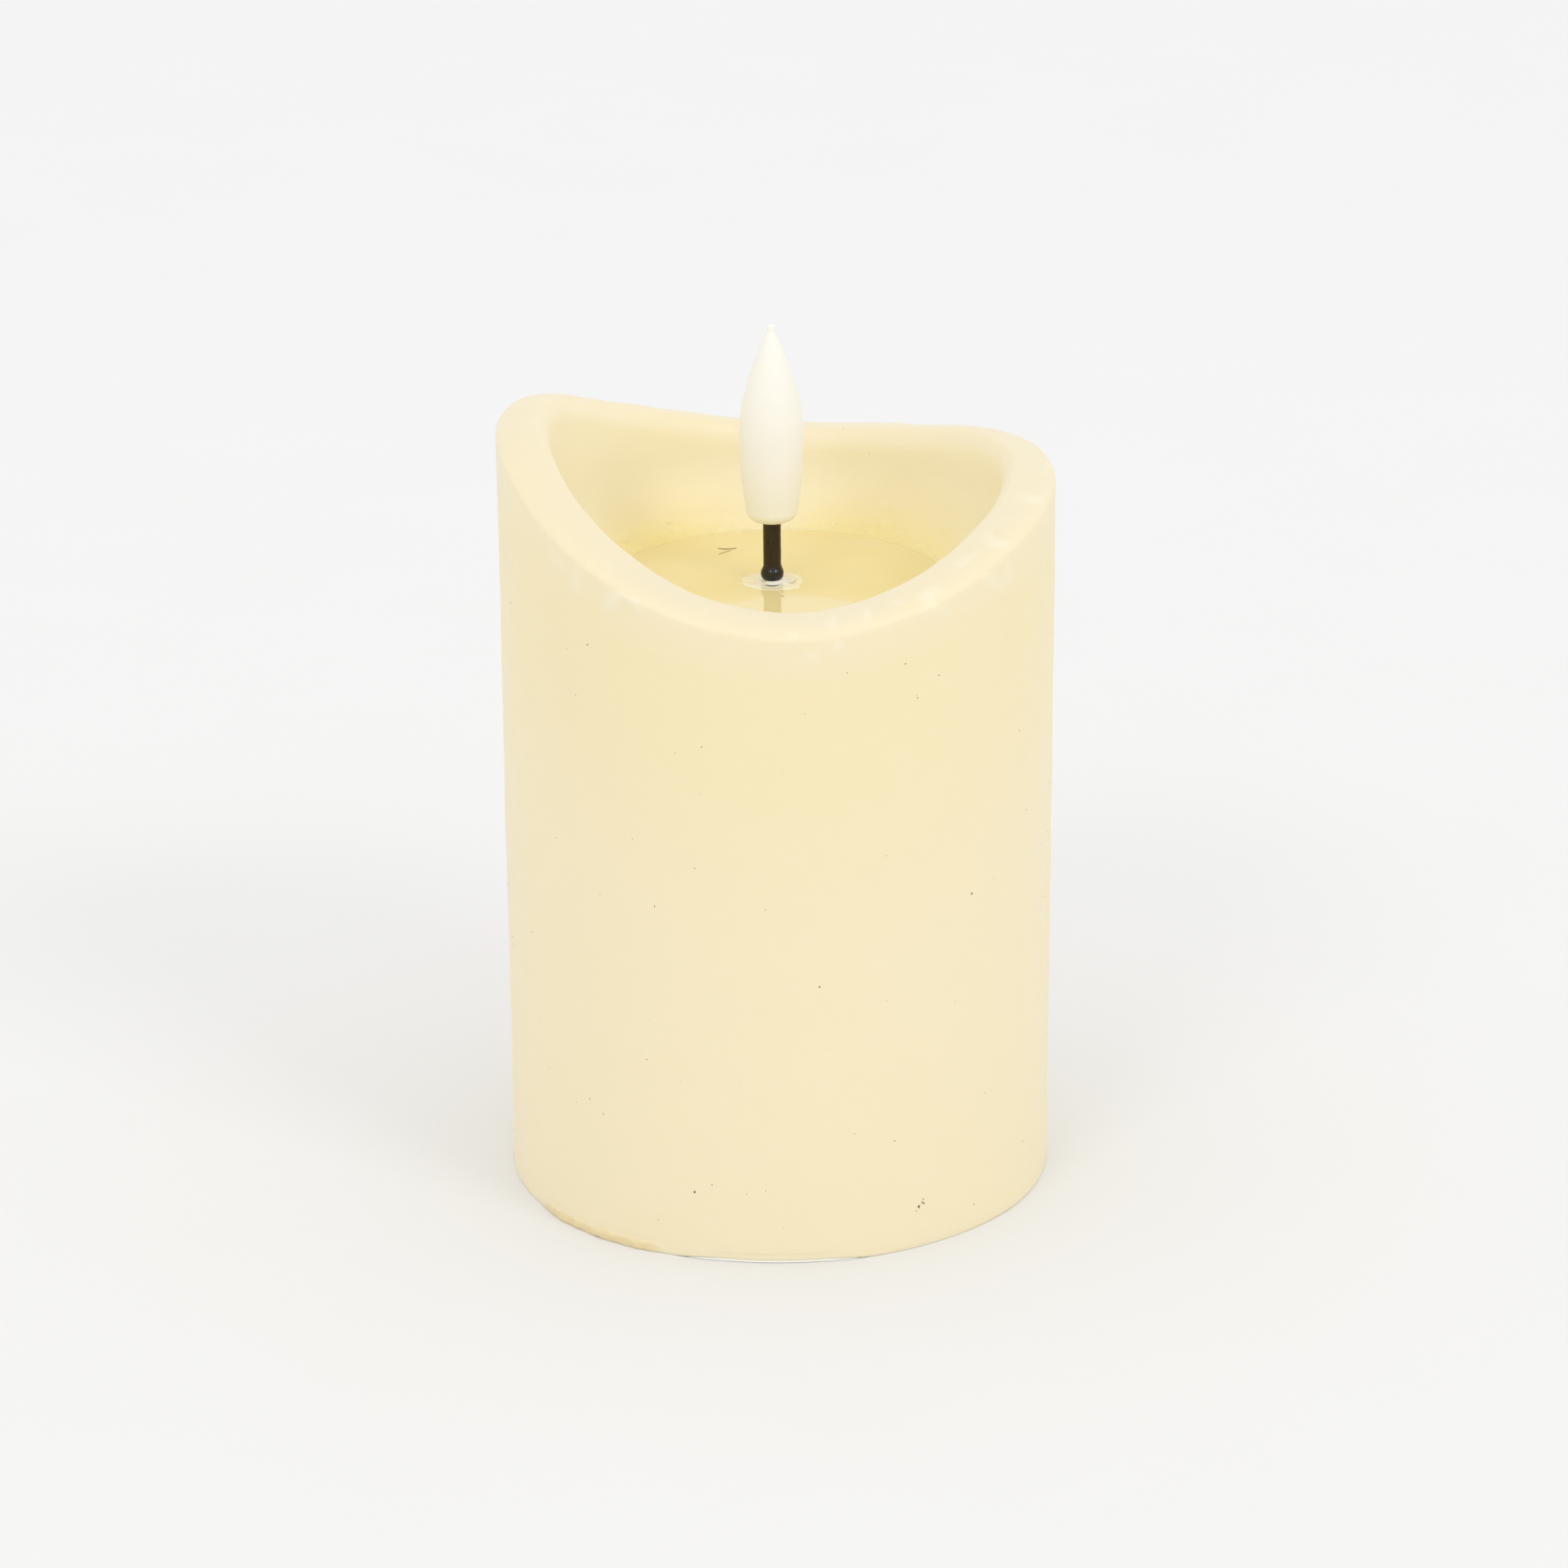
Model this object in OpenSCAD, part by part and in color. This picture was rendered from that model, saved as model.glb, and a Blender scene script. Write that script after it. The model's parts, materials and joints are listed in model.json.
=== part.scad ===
// Flameless LED candle: a wax pillar with a melted-look rim, a moulded flame on a black wick,
// and a battery and timer core closed by a base plate with a hinged battery door.
// Frame: millimetres, +Z up, origin at the centre of the flat bottom of the wax.
// The high side of the rim is at -X and the low side, the front, is at -Y.

/* [Wax pillar] */
// Outside diameter of the wax
wax_d = 70; // [68:0.5:74]
// Mean height of the rim above the table
rim_mean = 92.4; // [91:0.1:95]
// Thickness of the wax around the core
wax_wall = 6; // [5:0.1:6]
// Height of the cavity that holds the core
cavity_h = 70; // [68:0.5:72]
// Height of the melted pool's surface
pool_z = 78.5; // [76:0.5:79]
// Diameter of the melted pool
pool_d = 43; // [38:0.5:44]

/* [Flame and wick] */
// Height of the flame's underside above the table
flame_z = 86.6; // [85:0.1:90]
// Height of the flame itself
flame_h = 25.5; // [22:0.1:30]
// Largest diameter of the flame
flame_d = 8.16; // [7.6:0.02:10]
// Outside diameter of the wick
wick_d = 2.25; // [2.1:0.05:2.6]
// Sideways place of the wick
wick_x = -0.55; // [-1:0.05:1]

/* [Core] */
// Outside diameter of the core housing
core_d = 54; // [53:0.5:55]
// Height of the top of the core housing
core_top = 64; // [64:0.5:66]
// Wall thickness of the core housing
core_wall = 1.4; // [1:0.1:1.6]
// Depth of the base plate above the table
plate_z = 1.6; // [1.2:0.1:2]
// Thickness of the base plate
plate_t = 2.4; // [2.4:0.1:2.8]

/* [Batteries] */
// Diameter of one battery
cell_d = 14.2; // [13.5:0.1:14.5]
// Length of one battery, its positive button included
cell_len = 50.5; // [49.5:0.1:50.5]
// Distance between the axes of the two batteries
cell_pitch = 15.1; // [15:0.1:15.4]

/* [Battery door] */
// Width of the battery door
door_w = 33.6; // [33:0.1:34]
// Thickness of the battery door
door_t = 1.4; // [1.2:0.1:1.4]
// Diameter of the steel hinge pin
pin_d = 1.6; // [1.2:0.1:1.8]

/* [Switch] */
// Travel of the switch knob to each side of its middle position
switch_travel = 2; // [1.5:0.1:2.2]

/* [Hidden] */
$fn = 96;

// Wax
wax_r = wax_d / 2;
cavity_r = wax_r - wax_wall;
pool_r = pool_d / 2;
pool_t = 2.5;
floor_z = pool_z - pool_t;     // top of the wax under the pool
foot_round = 0.8;              // rounding of the bottom edge
rim_steps = 72;
rim_inset = 0.02;              // the rim's facets stand this far inside the pillar
crest_r = 30.3 * wax_d / 70;
lip_r = 28.35 * wax_d / 70;
shoulder = 2.3;                // depth of the rounding outside the crest
lip_round = 3.2;               // depth of the rounding inside the crest
bowl_rise = 9;                 // greatest height of the bowl's concave foot
// Waves of the rim's height: [waves per turn, cosine part, sine part]
rim_waves = [[1, -2.75, 2.93], [2, 5.08, -0.18], [3, -0.33, -0.04], [4, 0.13, -0.1]];

// Flame and wick
wick_r = wick_d / 2;
wire_r = 0.3;
wire_gap = 0.36;               // half the distance between the two wires in the wick
neck_r = 2.5;                  // bushing through the wax
flange_r = 6;                  // bushing's flange on the core
flange_t = 2.4;
wick_foot = core_top + 2;      // lower end of the wick
channel_w = 2.4;               // channel under the bushing for the wires
bead_z = 1.05;                 // middle of the bead above the pool
bead_half = 0.9;
bead_proud = 0.27;
seal_r = 4.2;
slack = 0.05;
flame_r = flame_d / 2;
flame_foot_r = 0.745 * flame_r;
flame_belly = 11.1;            // height of the widest place above the flame's underside
flame_corner = 1.6;
flame_tip_r = 0.55;
flame_tip_join = 0.8;          // depth below the tip at which the rounded tip takes over
flame_wall = 0.7;
led_z = flame_z + 1.7;
led_r = 1.5;
led_h = 3.4;
led_flange_r = 1.9;
leg_r = 0.22;
leg_len = 4;

// Core
core_r = core_d / 2;
plate_top = plate_z + plate_t;
plate_r = cavity_r - 0.5;
roof_t = 1.6;
roof_z = core_top - roof_t;    // underside of the housing's roof
boss_ring = 23;
boss_r = 2.7;
boss_turns = [90, 205, 335];
boss_h = 12;
screw_r = 1.1;

// Batteries and contacts
cell_r = cell_d / 2;
cell_y = 6.5;
cell_x = cell_pitch / 2;
button_h = 1;
button_r = 2.75;
jacket_t = 0.12;
contact_t = 0.3;
dimple_h = 1;
contact_z = roof_z - contact_t;               // face of the top contacts
left_foot = contact_z - dimple_h - cell_len;  // lower end of the left battery
right_foot = plate_z + door_t + contact_t + dimple_h;
spring_wire_r = 0.35;
bay_x = cell_pitch + 0.1;      // half width of the battery bay
bay_front = cell_y - cell_r - 0.6;
bay_back = cell_y + cell_r + 0.6;
bay_wall = 1.2;

// Battery door
door_front = -3.4;
door_back = 15.4;
door_top = plate_z + door_t;
door_gap = 0.2;
hinge_y = 18;
hinge_z = plate_z + 1.55;
knuckle_r = 1.5;
knuckle_w = 22;
ear_w = 4;
pin_r = pin_d / 2;
lock_w = 8;
lock_travel = 1.6;

// Board and switch
board_y = -15.5;
board_z = 9.4;
board_t = 1.2;
board_top = board_z + board_t;
post_x = 9.5;
lever_w = 3;
lever_d = 2.4;
lever_z = 0.8;
switch_z = 5.4;

// ---------- Shared shapes ----------

function unit(v) = v / norm(v);

// A block between two corners
module block(low, high) {
    translate(low) cube(high - low);
}

// Direction of a route at point i
function heading(route, i) =
    unit(route[min(i + 1, len(route) - 1)] - route[max(i - 1, 0)]);

// Ring of points round point i of a route; side is any direction that the route never takes
function ring(route, i, r, sides, side) =
    let (t = heading(route, i), u = unit(cross(t, side)), v = cross(t, u))
    [for (k = [0:sides - 1]) route[i] + r * (cos(360 * k / sides) * u + sin(360 * k / sides) * v)];

// A round wire of radius r along a route
module wire(route, r, side, sides = 8) {
    n = len(route);
    polyhedron(
        points = [for (i = [0:n - 1]) each ring(route, i, r, sides, side)],
        faces = concat(
            [[for (k = [0:sides - 1]) k]],
            [for (i = [0:n - 2], k = [0:sides - 1])
                let (a = i * sides + k, b = i * sides + (k + 1) % sides) [a, a + sides, b + sides]],
            [for (i = [0:n - 2], k = [0:sides - 1])
                let (a = i * sides + k, b = i * sides + (k + 1) % sides) [a, b + sides, b]],
            [[for (k = [sides - 1:-1:0]) (n - 1) * sides + k]]
        )
    );
}

// A route with its corners rounded: straight ends and a curve round every corner between them
function rounded(p, steps = 5) = concat(
    [p[0]],
    [for (i = [1:len(p) - 2]) let (a = (p[i - 1] + p[i]) / 2, b = (p[i] + p[i + 1]) / 2)
        each [for (k = [0:steps]) let (t = k / steps)
            if (k < steps || i == len(p) - 2)
                (1 - t) * (1 - t) * a + 2 * t * (1 - t) * p[i] + t * t * b]],
    [p[len(p) - 1]]
);

// A conical coil spring standing at [x, y], from z0 with radius r0 to z1 with radius r1
function coil(x, y, z0, z1, r0, r1, turns = 4, steps = 14) =
    [for (k = [0:turns * steps])
        let (t = k / (turns * steps), a = 360 * k / steps, r = r0 + (r1 - r0) * t)
        [x + r * cos(a), y + r * sin(a), z0 + (z1 - z0) * min(1, max(0, 1.25 * t - 0.125))]];

// A cross-head screw whose head lies below z and whose shank rises; flip = -1 turns it over
module screw(z, head_r, head_h, shank_r, shank_h, flip = 1) {
    translate([0, 0, z]) mirror([0, 0, flip < 0 ? 1 : 0]) difference() {
        union() {
            cylinder(r = head_r, h = head_h);
            translate([0, 0, head_h - 0.1]) cylinder(r = shank_r, h = shank_h + 0.1);
        }
        for (turn = [0, 90]) rotate(turn)
            block([-0.6 * head_r, -0.25, -1], [0.6 * head_r, 0.25, 0.6 * head_h]);
    }
}

// ---------- Wax ----------

// Height of the crest of the rim at angle a
function rim_z(a, i = 0) = i == len(rim_waves) ? rim_mean
    : rim_waves[i][1] * cos(rim_waves[i][0] * a) + rim_waves[i][2] * sin(rim_waves[i][0] * a)
        + rim_z(a, i + 1);

// Section of the rim at angle a, as [radius, height], from the outer foot over the crest to the pool
function rim_section(a) =
    let (z = rim_z(a),
        outer_r = wax_r - rim_inset,
        rise = min(bowl_rise, z - lip_round - pool_z - 0.2))
    concat(
        [[outer_r, floor_z]],
        [for (t = [0:15:90]) [crest_r + (outer_r - crest_r) * cos(t), z - shoulder * (1 - sin(t))]],
        [for (t = [15:15:90]) [crest_r - (crest_r - lip_r) * sin(t), z - lip_round * (1 - cos(t))]],
        [for (t = [90:-11.25:0]) [pool_r + (lip_r - pool_r) * sin(t), pool_z + rise * (1 - cos(t))]],
        [[pool_r, floor_z]]
    );

module rim() {
    sections = [for (k = [0:rim_steps - 1]) rim_section(360 * k / rim_steps)];
    m = len(sections[0]);
    polyhedron(
        points = [for (k = [0:rim_steps - 1], p = sections[k])
            [p[0] * cos(360 * k / rim_steps), p[0] * sin(360 * k / rim_steps), p[1]]],
        faces = [for (k = [0:rim_steps - 1], i = [0:m - 1], half = [0, 1])
            let (a = k * m + i, b = k * m + (i + 1) % m,
                c = (k + 1) % rim_steps * m + (i + 1) % m, d = (k + 1) % rim_steps * m + i)
            half == 0 ? [a, b, c] : [a, c, d]]
    );
}

module wax_shell() {
    color([0.97, 0.91, 0.75]) {
        difference() {
            rotate_extrude($fn = 180) polygon(concat(
                [[cavity_r, 0], [wax_r - foot_round, 0]],
                [for (t = [30:30:90]) [wax_r - foot_round * (1 - sin(t)), foot_round * (1 - cos(t))]],
                [[wax_r, floor_z], [0, floor_z], [0, cavity_h], [cavity_r, cavity_h]]
            ));
            translate([wick_x, 0, cavity_h - 1])
                cylinder(r = neck_r + slack, h = floor_z - cavity_h + 2);
        }
        rim();
    }
}

module melt_pool() {
    color([0.95, 0.86, 0.6])
    difference() {
        translate([0, 0, floor_z]) cylinder(r = pool_r - slack, h = pool_t);
        translate([wick_x, 0, floor_z - 1]) cylinder(r = neck_r + slack, h = pool_t + 2);
    }
}

// ---------- Wick and flame ----------

module wick_bushing() {
    color([0.95, 0.94, 0.9]) translate([wick_x, 0, 0])
    difference() {
        union() {
            translate([0, 0, core_top]) cylinder(r = flange_r, h = flange_t);
            translate([0, 0, core_top]) cylinder(r = neck_r, h = pool_z - core_top);
        }
        translate([0, 0, wick_foot]) cylinder(r = wick_r, h = pool_z);
        translate([0, 0, core_top - 1]) cylinder(r = 1, h = 4);
        block([-channel_w / 2, -flange_r - 1, core_top - 1], [channel_w / 2, 0, core_top + 1.6]);
    }
}

module wick_tube() {
    color([0.16, 0.13, 0.08]) translate([wick_x, 0, wick_foot])
    difference() {
        cylinder(r = wick_r, h = flame_z + 1.5 - wick_foot);
        translate([0, 0, -1]) cylinder(r = wick_r - 0.37, h = flame_z);
    }
}

module wick_bead() {
    color([0.08, 0.07, 0.06]) translate([wick_x, 0, pool_z + bead_z])
    rotate_extrude() polygon(concat(
        [[wick_r, -bead_half]],
        [for (t = [-70:20:70]) [wick_r + bead_proud * cos(t), bead_half * sin(t)]],
        [[wick_r, bead_half]]
    ));
}

module wick_seal() {
    color([0.96, 0.93, 0.82, 0.6]) translate([wick_x, 0, pool_z])
    rotate_extrude() polygon([
        [wick_r, 0], [seal_r, 0], [seal_r - 0.15, 0.06], [2.6, 0.09], [1.3, 0.11], [wick_r, 0.13]
    ]);
}

// Radius of the flame at height h above its underside
function flame_at(h) = h < flame_belly
    ? flame_r - (flame_r - flame_foot_r) * pow(1 - h / flame_belly, 2)
    : flame_r * (1 - pow((h - flame_belly) / (flame_h - flame_belly), 1.8));

// Outline of the flame shrunk by inset, without its rounded tip
function flame_outline(inset) = concat(
    [[0, inset]],
    [for (t = [0:22.5:90]) [
        flame_at(flame_corner) - flame_corner * (1 - sin(t)) - inset,
        inset + flame_corner * (1 - cos(t))]],
    [for (k = [1:16])
        let (h = flame_corner + inset + k * (flame_h - flame_tip_join - flame_corner - 2 * inset) / 16)
        [max(0.1, flame_at(h) - inset), h]],
    [[0, flame_h - flame_tip_join - inset]]
);

module flame_diffuser() {
    color([0.98, 0.96, 0.91]) translate([wick_x, 0, flame_z])
    difference() {
        union() {
            rotate_extrude() polygon(flame_outline(0));
            translate([0, 0, flame_h - flame_tip_r]) sphere(r = flame_tip_r);
        }
        rotate_extrude() polygon(flame_outline(flame_wall));
        translate([0, 0, -1]) cylinder(r = wick_r, h = 3);
    }
}

module flame_led() {
    color([1, 0.93, 0.7]) translate([wick_x, 0, led_z])
    union() {
        cylinder(r = led_flange_r, h = 0.8);
        cylinder(r = led_r, h = led_h);
        translate([0, 0, led_h]) sphere(r = led_r);
    }
}

module led_legs() {
    color([0.8, 0.8, 0.8])
    for (side = [-1, 1]) translate([wick_x + side * wire_gap, 0, led_z - leg_len])
        cylinder(r = leg_r, h = leg_len);
}

// Route of a flame wire, from its leg down the wick and through the roof to the board at x
function led_route(side, x) = rounded([
    [wick_x + side * wire_gap, 0, led_z - leg_len],
    [wick_x + side * wire_gap, 0, core_top + 4],
    [wick_x + side * wire_gap, -0.3, core_top + 0.5],
    [wick_x + side * 0.5, -8, core_top + 0.5],
    [x / 2, -8.2, core_top - 9],
    [x, -9.2, 30],
    [x, -11.2, 18],
    [x, -11.2, board_top]
]);

module led_wire_red() {
    color("firebrick") wire(led_route(-1, -3), wire_r, [1, 0, 0]);
}

module led_wire_black() {
    color([0.1, 0.1, 0.1]) wire(led_route(1, 0), wire_r, [1, 0, 0]);
}

// ---------- Core ----------

module at_bosses() {
    for (turn = boss_turns) rotate(turn) translate([boss_ring, 0, 0]) children();
}

module core_housing() {
    color([0.93, 0.92, 0.87])
    difference() {
        union() {
            difference() {
                translate([0, 0, plate_top]) cylinder(r = core_r, h = core_top - plate_top);
                translate([0, 0, plate_top - 1])
                    cylinder(r = core_r - core_wall, h = roof_z - plate_top + 1);
            }
            block([-bay_x - bay_wall, bay_front - bay_wall, plate_top],
                [bay_x + bay_wall, bay_back + bay_wall, roof_z + 0.5]);
            intersection() {
                at_bosses() translate([0, 0, plate_top]) cylinder(r = boss_r, h = boss_h);
                translate([0, 0, plate_top]) cylinder(r = core_r - 0.5, h = boss_h);
            }
        }
        difference() {
            block([-bay_x, bay_front, plate_top - 1], [bay_x, bay_back, roof_z]);
            for (side = [-1, 1]) {
                y = cell_y + side * (bay_back - cell_y);
                block([-0.6, min(y, y - side * 3), left_foot + 3], [0.6, max(y, y - side * 3), roof_z]);
            }
        }
        at_bosses() translate([0, 0, plate_top - 1]) cylinder(r = screw_r, h = boss_h - 1);
        for (x = [-cell_x, cell_x])
            block([x - 1.5, bay_front - bay_wall - 1, contact_z - 0.1], [x + 1.5, bay_front + 1, roof_z]);
        // Slot in the roof for the flame's wires
        block([wick_x - channel_w / 2, -9.2, roof_z - 1], [wick_x + channel_w / 2, -4.6, core_top + 1]);
    }
}

module glue_beads() {
    color([0.95, 0.93, 0.86])
    for (turn = [45, 165, 285]) rotate(turn) rotate_extrude(angle = 16)
        polygon([[core_r, 26], [cavity_r, 28], [cavity_r, 37], [core_r, 40]]);
}

module base_plate() {
    slot_front = 16;
    slot_back = hinge_y + 1.75;
    pocket_z = plate_z + 0.6;
    color([0.9, 0.89, 0.84])
    difference() {
        union() {
            translate([0, 0, plate_z]) cylinder(r = plate_r, h = plate_t);
            for (side = [-1, 1]) translate([side * (knuckle_w / 2 + 0.2 + ear_w / 2), 0, 0])
                block([-ear_w / 2, slot_front + 0.3, plate_top - 1], [ear_w / 2, slot_back, plate_top + 1]);
            for (x = [-post_x, post_x]) translate([x, board_y, plate_top - 1])
                cylinder(r = 2, h = board_z - plate_top + 1);
        }
        // Recess that the door closes, the battery opening and the hinge slot
        block([-door_w / 2 - door_gap, door_front - door_gap, plate_z - 1],
            [door_w / 2 + door_gap, slot_front, door_top + 0.1]);
        block([-bay_x - 0.2, bay_front - 0.3, plate_z], [bay_x + 0.2, bay_back + 0.3, plate_top + 1]);
        block([-knuckle_w / 2 - 0.2, slot_front - 1, plate_z - 1],
            [knuckle_w / 2 + 0.2, slot_back, plate_top + 2]);
        // Holes for the hinge pin and pocket for the door's lock
        translate([-knuckle_w / 2 - ear_w + 0.5, hinge_y, hinge_z]) rotate([0, 90, 0])
            cylinder(r = pin_r, h = knuckle_w + 2 * ear_w - 1);
        block([-lock_w / 2 - 0.2, door_front - 1.3, pocket_z],
            [lock_w / 2 + 0.2, door_front, door_top + 0.1]);
        // Window and finger recess of the switch
        block([-lever_w / 2 - switch_travel - 0.6, board_y - lever_d / 2 - 0.4, plate_z - 1],
            [lever_w / 2 + switch_travel + 0.6, board_y + lever_d / 2 + 0.4, plate_top + 1]);
        block([-7, board_y - 3, plate_z - 1], [7, board_y + 3, plate_z + 0.8]);
        // Screw holes
        at_bosses() {
            translate([0, 0, plate_z - 1]) cylinder(r = screw_r + 0.2, h = plate_t + 2);
            translate([0, 0, plate_z - 1]) cylinder(r = 2.4, h = 2.3);
        }
        for (x = [-post_x, post_x]) translate([x, board_y, plate_top])
            cylinder(r = 0.8, h = board_z);
    }
}

module base_screws() {
    color([0.75, 0.75, 0.73])
    at_bosses() screw(plate_z + 0.2, 2.1, 1.1, screw_r, 9);
}

// ---------- Batteries ----------

// One battery can with its lower end at z = foot; up = 1 puts the positive button on top
module battery(x, foot, up) {
    middle = foot + cell_len / 2;
    color([0.72, 0.72, 0.7]) translate([x, cell_y, middle]) mirror([0, 0, up > 0 ? 0 : 1]) union() {
        translate([0, 0, -cell_len / 2]) cylinder(r = cell_r - jacket_t, h = cell_len - button_h);
        translate([0, 0, cell_len / 2 - button_h - 0.2]) cylinder(r = button_r, h = button_h + 0.2);
    }
}

module battery_left() {
    battery(-cell_x, left_foot, 1);
}

module battery_right() {
    battery(cell_x, right_foot, -1);
}

module jacket(x, low) {
    translate([x, cell_y, low + 0.7]) difference() {
        cylinder(r = cell_r, h = cell_len - button_h - 1.4);
        translate([0, 0, -1]) cylinder(r = cell_r - jacket_t, h = cell_len);
    }
}

module battery_jackets() {
    color([0.2, 0.35, 0.3]) {
        jacket(-cell_x, left_foot);
        jacket(cell_x, right_foot + button_h);
    }
}

// ---------- Contacts and battery wires ----------

// Flat contact under the roof with a solder tab through the slot in the bay's front wall
module roof_contact(x) {
    block([x - 4.5, bay_front + 0.1, contact_z], [x + 4.5, cell_y + 4.5, roof_z]);
    block([x - 1.2, bay_front - bay_wall - 2, contact_z], [x + 1.2, bay_front + 1, roof_z]);
}

module positive_contact() {
    color([0.78, 0.78, 0.76]) union() {
        roof_contact(-cell_x);
        translate([-cell_x, cell_y, contact_z - dimple_h]) cylinder(r = 1.8, h = dimple_h + 0.1);
    }
}

module negative_contact() {
    color([0.78, 0.78, 0.76]) union() roof_contact(cell_x);
}

module negative_spring() {
    color([0.8, 0.8, 0.78])
    wire(coil(cell_x, cell_y, right_foot + cell_len + spring_wire_r, contact_z - spring_wire_r, 2.6, 4.1),
        spring_wire_r, [0, 0, 1]);
}

// Route of a battery wire, from a solder tab down beside the bay to the board at x
function battery_route(side, x) = rounded([
    [side * cell_x, bay_front - bay_wall - 1.6, contact_z],
    [side * cell_x, bay_front - bay_wall - 1.8, contact_z - 6],
    [side * (cell_x + 1), -7, 44],
    [x, -9, 28],
    [x, -11.2, 18],
    [x, -11.2, board_top]
]);

module battery_wire_red() {
    color("firebrick") wire(battery_route(-1, -10.6), 0.5, [1, 0, 0]);
}

module battery_wire_black() {
    color([0.1, 0.1, 0.1]) wire(battery_route(1, 10.6), 0.5, [1, 0, 0]);
}

// ---------- Battery door ----------

module battery_door() {
    track_end = 0.9 + lock_travel + 0.3;
    skin = plate_z + 0.75;
    color([0.88, 0.87, 0.82])
    difference() {
        union() {
            block([-door_w / 2, door_front, plate_z], [door_w / 2, door_back, door_top]);
            block([-knuckle_w / 2, door_back - 1, plate_z], [knuckle_w / 2, hinge_y, door_top]);
            translate([-knuckle_w / 2, hinge_y, hinge_z]) rotate([0, 90, 0])
                cylinder(r = knuckle_r, h = knuckle_w);
            // Strap that holds the lock down in its track
            block([-lock_w / 2 - 1.5, bay_front + 0.1, door_top - 0.2],
                [lock_w / 2 + 1.5, 1.6, door_top + 0.8]);
        }
        translate([-knuckle_w / 2 - 1, hinge_y, hinge_z]) rotate([0, 90, 0])
            cylinder(r = pin_r + slack, h = knuckle_w + 2);
        block([-lock_w / 2 - 0.1, door_front - 1, skin], [lock_w / 2 + 0.1, track_end, door_top]);
        block([-lock_w / 2 - 0.1, 1.5, skin], [lock_w / 2 + 0.1, track_end, door_top + 1]);
        block([-2.7, door_front + 0.7, plate_z - 1], [2.7, 1.5, skin + 0.1]);
    }
}

module door_pin() {
    color([0.75, 0.75, 0.75])
    translate([-knuckle_w / 2 - ear_w + 0.5, hinge_y, hinge_z]) rotate([0, 90, 0])
        cylinder(r = pin_r, h = knuckle_w + 2 * ear_w - 1);
}

module door_lock() {
    skin = plate_z + 0.8;
    color([0.84, 0.83, 0.78])
    difference() {
        union() {
            block([-lock_w / 2, door_front - 0.9, skin], [lock_w / 2, 0.9, door_top - 0.05]);
            block([-2.6, door_front + 0.8, plate_z + 0.1], [2.6, -0.2, skin + 0.1]);
        }
        // Grip grooves across the thumb pad
        for (y = [door_front + 1.2:0.6:-0.6]) block([-3, y, plate_z - 1], [3, y + 0.25, plate_z + 0.35]);
    }
}

module bridge_plate() {
    color([0.78, 0.78, 0.76])
    union() {
        block([-13, cell_y - 4.2, door_top], [13, cell_y + 4.2, door_top + contact_t]);
        translate([cell_x, cell_y, door_top + 0.1]) cylinder(r = 1.8, h = contact_t + dimple_h - 0.1);
    }
}

module bridge_spring() {
    color([0.8, 0.8, 0.78])
    wire(coil(-cell_x, cell_y, door_top + contact_t + spring_wire_r, left_foot - spring_wire_r, 4.1, 2.6),
        spring_wire_r, [0, 0, 1]);
}

// ---------- Timer board and switch ----------

module timer_board() {
    color([0.2, 0.45, 0.25])
    difference() {
        block([-12, board_y - 5.5, board_z], [12, board_y + 5.5, board_top]);
        for (x = [-post_x, post_x]) translate([x, board_y, board_z - 1]) cylinder(r = 0.9, h = board_t + 2);
    }
}

module board_screws() {
    color([0.75, 0.75, 0.73])
    for (x = [-post_x, post_x]) translate([x, board_y, 0])
        screw(board_top + 1, 1.7, 1, 0.8, board_t + 3.5, -1);
}

module timer_chip() {
    color([0.12, 0.12, 0.12])
    block([-2, board_y - 4.2, board_top + 0.15], [2, board_y + 0.8, board_top + 1.6]);
}

module chip_legs() {
    color([0.8, 0.8, 0.78])
    for (side = [-1, 1], k = [0:3]) translate([side * 2.5, board_y - 3.6 + k * 1.27, 0]) union() {
        block([-0.5, -0.2, board_top + 0.6], [0.5, 0.2, board_top + 0.8]);
        block([side * 0.5 - 0.1, -0.2, board_top], [side * 0.5 + 0.1, 0.2, board_top + 0.8]);
    }
}

module timer_crystal() {
    color([0.8, 0.8, 0.78]) translate([-10.4, -20, board_top + 1]) rotate([0, 90, 0]) cylinder(r = 1, h = 6);
}

module dropper_resistor() {
    color([0.8, 0.7, 0.5]) translate([4.6, -20, board_top + 1.1]) union() {
        rotate([0, 90, 0]) cylinder(r = 0.85, h = 4);
        for (x = [-0.9, 4.7]) block([x - 0.2, -0.2, -1.1], [x + 0.2, 0.2, 0.2]);
        block([-1.1, -0.2, -0.2], [4.9, 0.2, 0.2]);
    }
}

module filter_capacitor() {
    color([0.15, 0.2, 0.35]) translate([5.6, -12.6, board_top]) cylinder(r = 2, h = 5);
}

module slide_switch() {
    color([0.75, 0.75, 0.73])
    difference() {
        block([-5.5, board_y - 2.8, switch_z], [5.5, board_y + 2.8, board_z]);
        block([-2.2 - switch_travel, board_y - 1.7, switch_z + 0.5],
            [2.2 + switch_travel, board_y + 1.7, board_z - 1]);
        block([-lever_w / 2 - switch_travel - 0.2, board_y - lever_d / 2 - 0.15, switch_z - 1],
            [lever_w / 2 + switch_travel + 0.2, board_y + lever_d / 2 + 0.15, switch_z + 1]);
    }
}

module switch_knob() {
    color([0.1, 0.1, 0.1])
    difference() {
        union() {
            block([-lever_w / 2, board_y - lever_d / 2, lever_z],
                [lever_w / 2, board_y + lever_d / 2, switch_z + 1]);
            block([-2.1, board_y - 1.5, switch_z + 0.7], [2.1, board_y + 1.5, board_z - 1.5]);
        }
        for (x = [-0.9, -0.15, 0.6])
            block([x, board_y - 2, lever_z - 1], [x + 0.3, board_y + 2, lever_z + 0.3]);
    }
}

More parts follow.
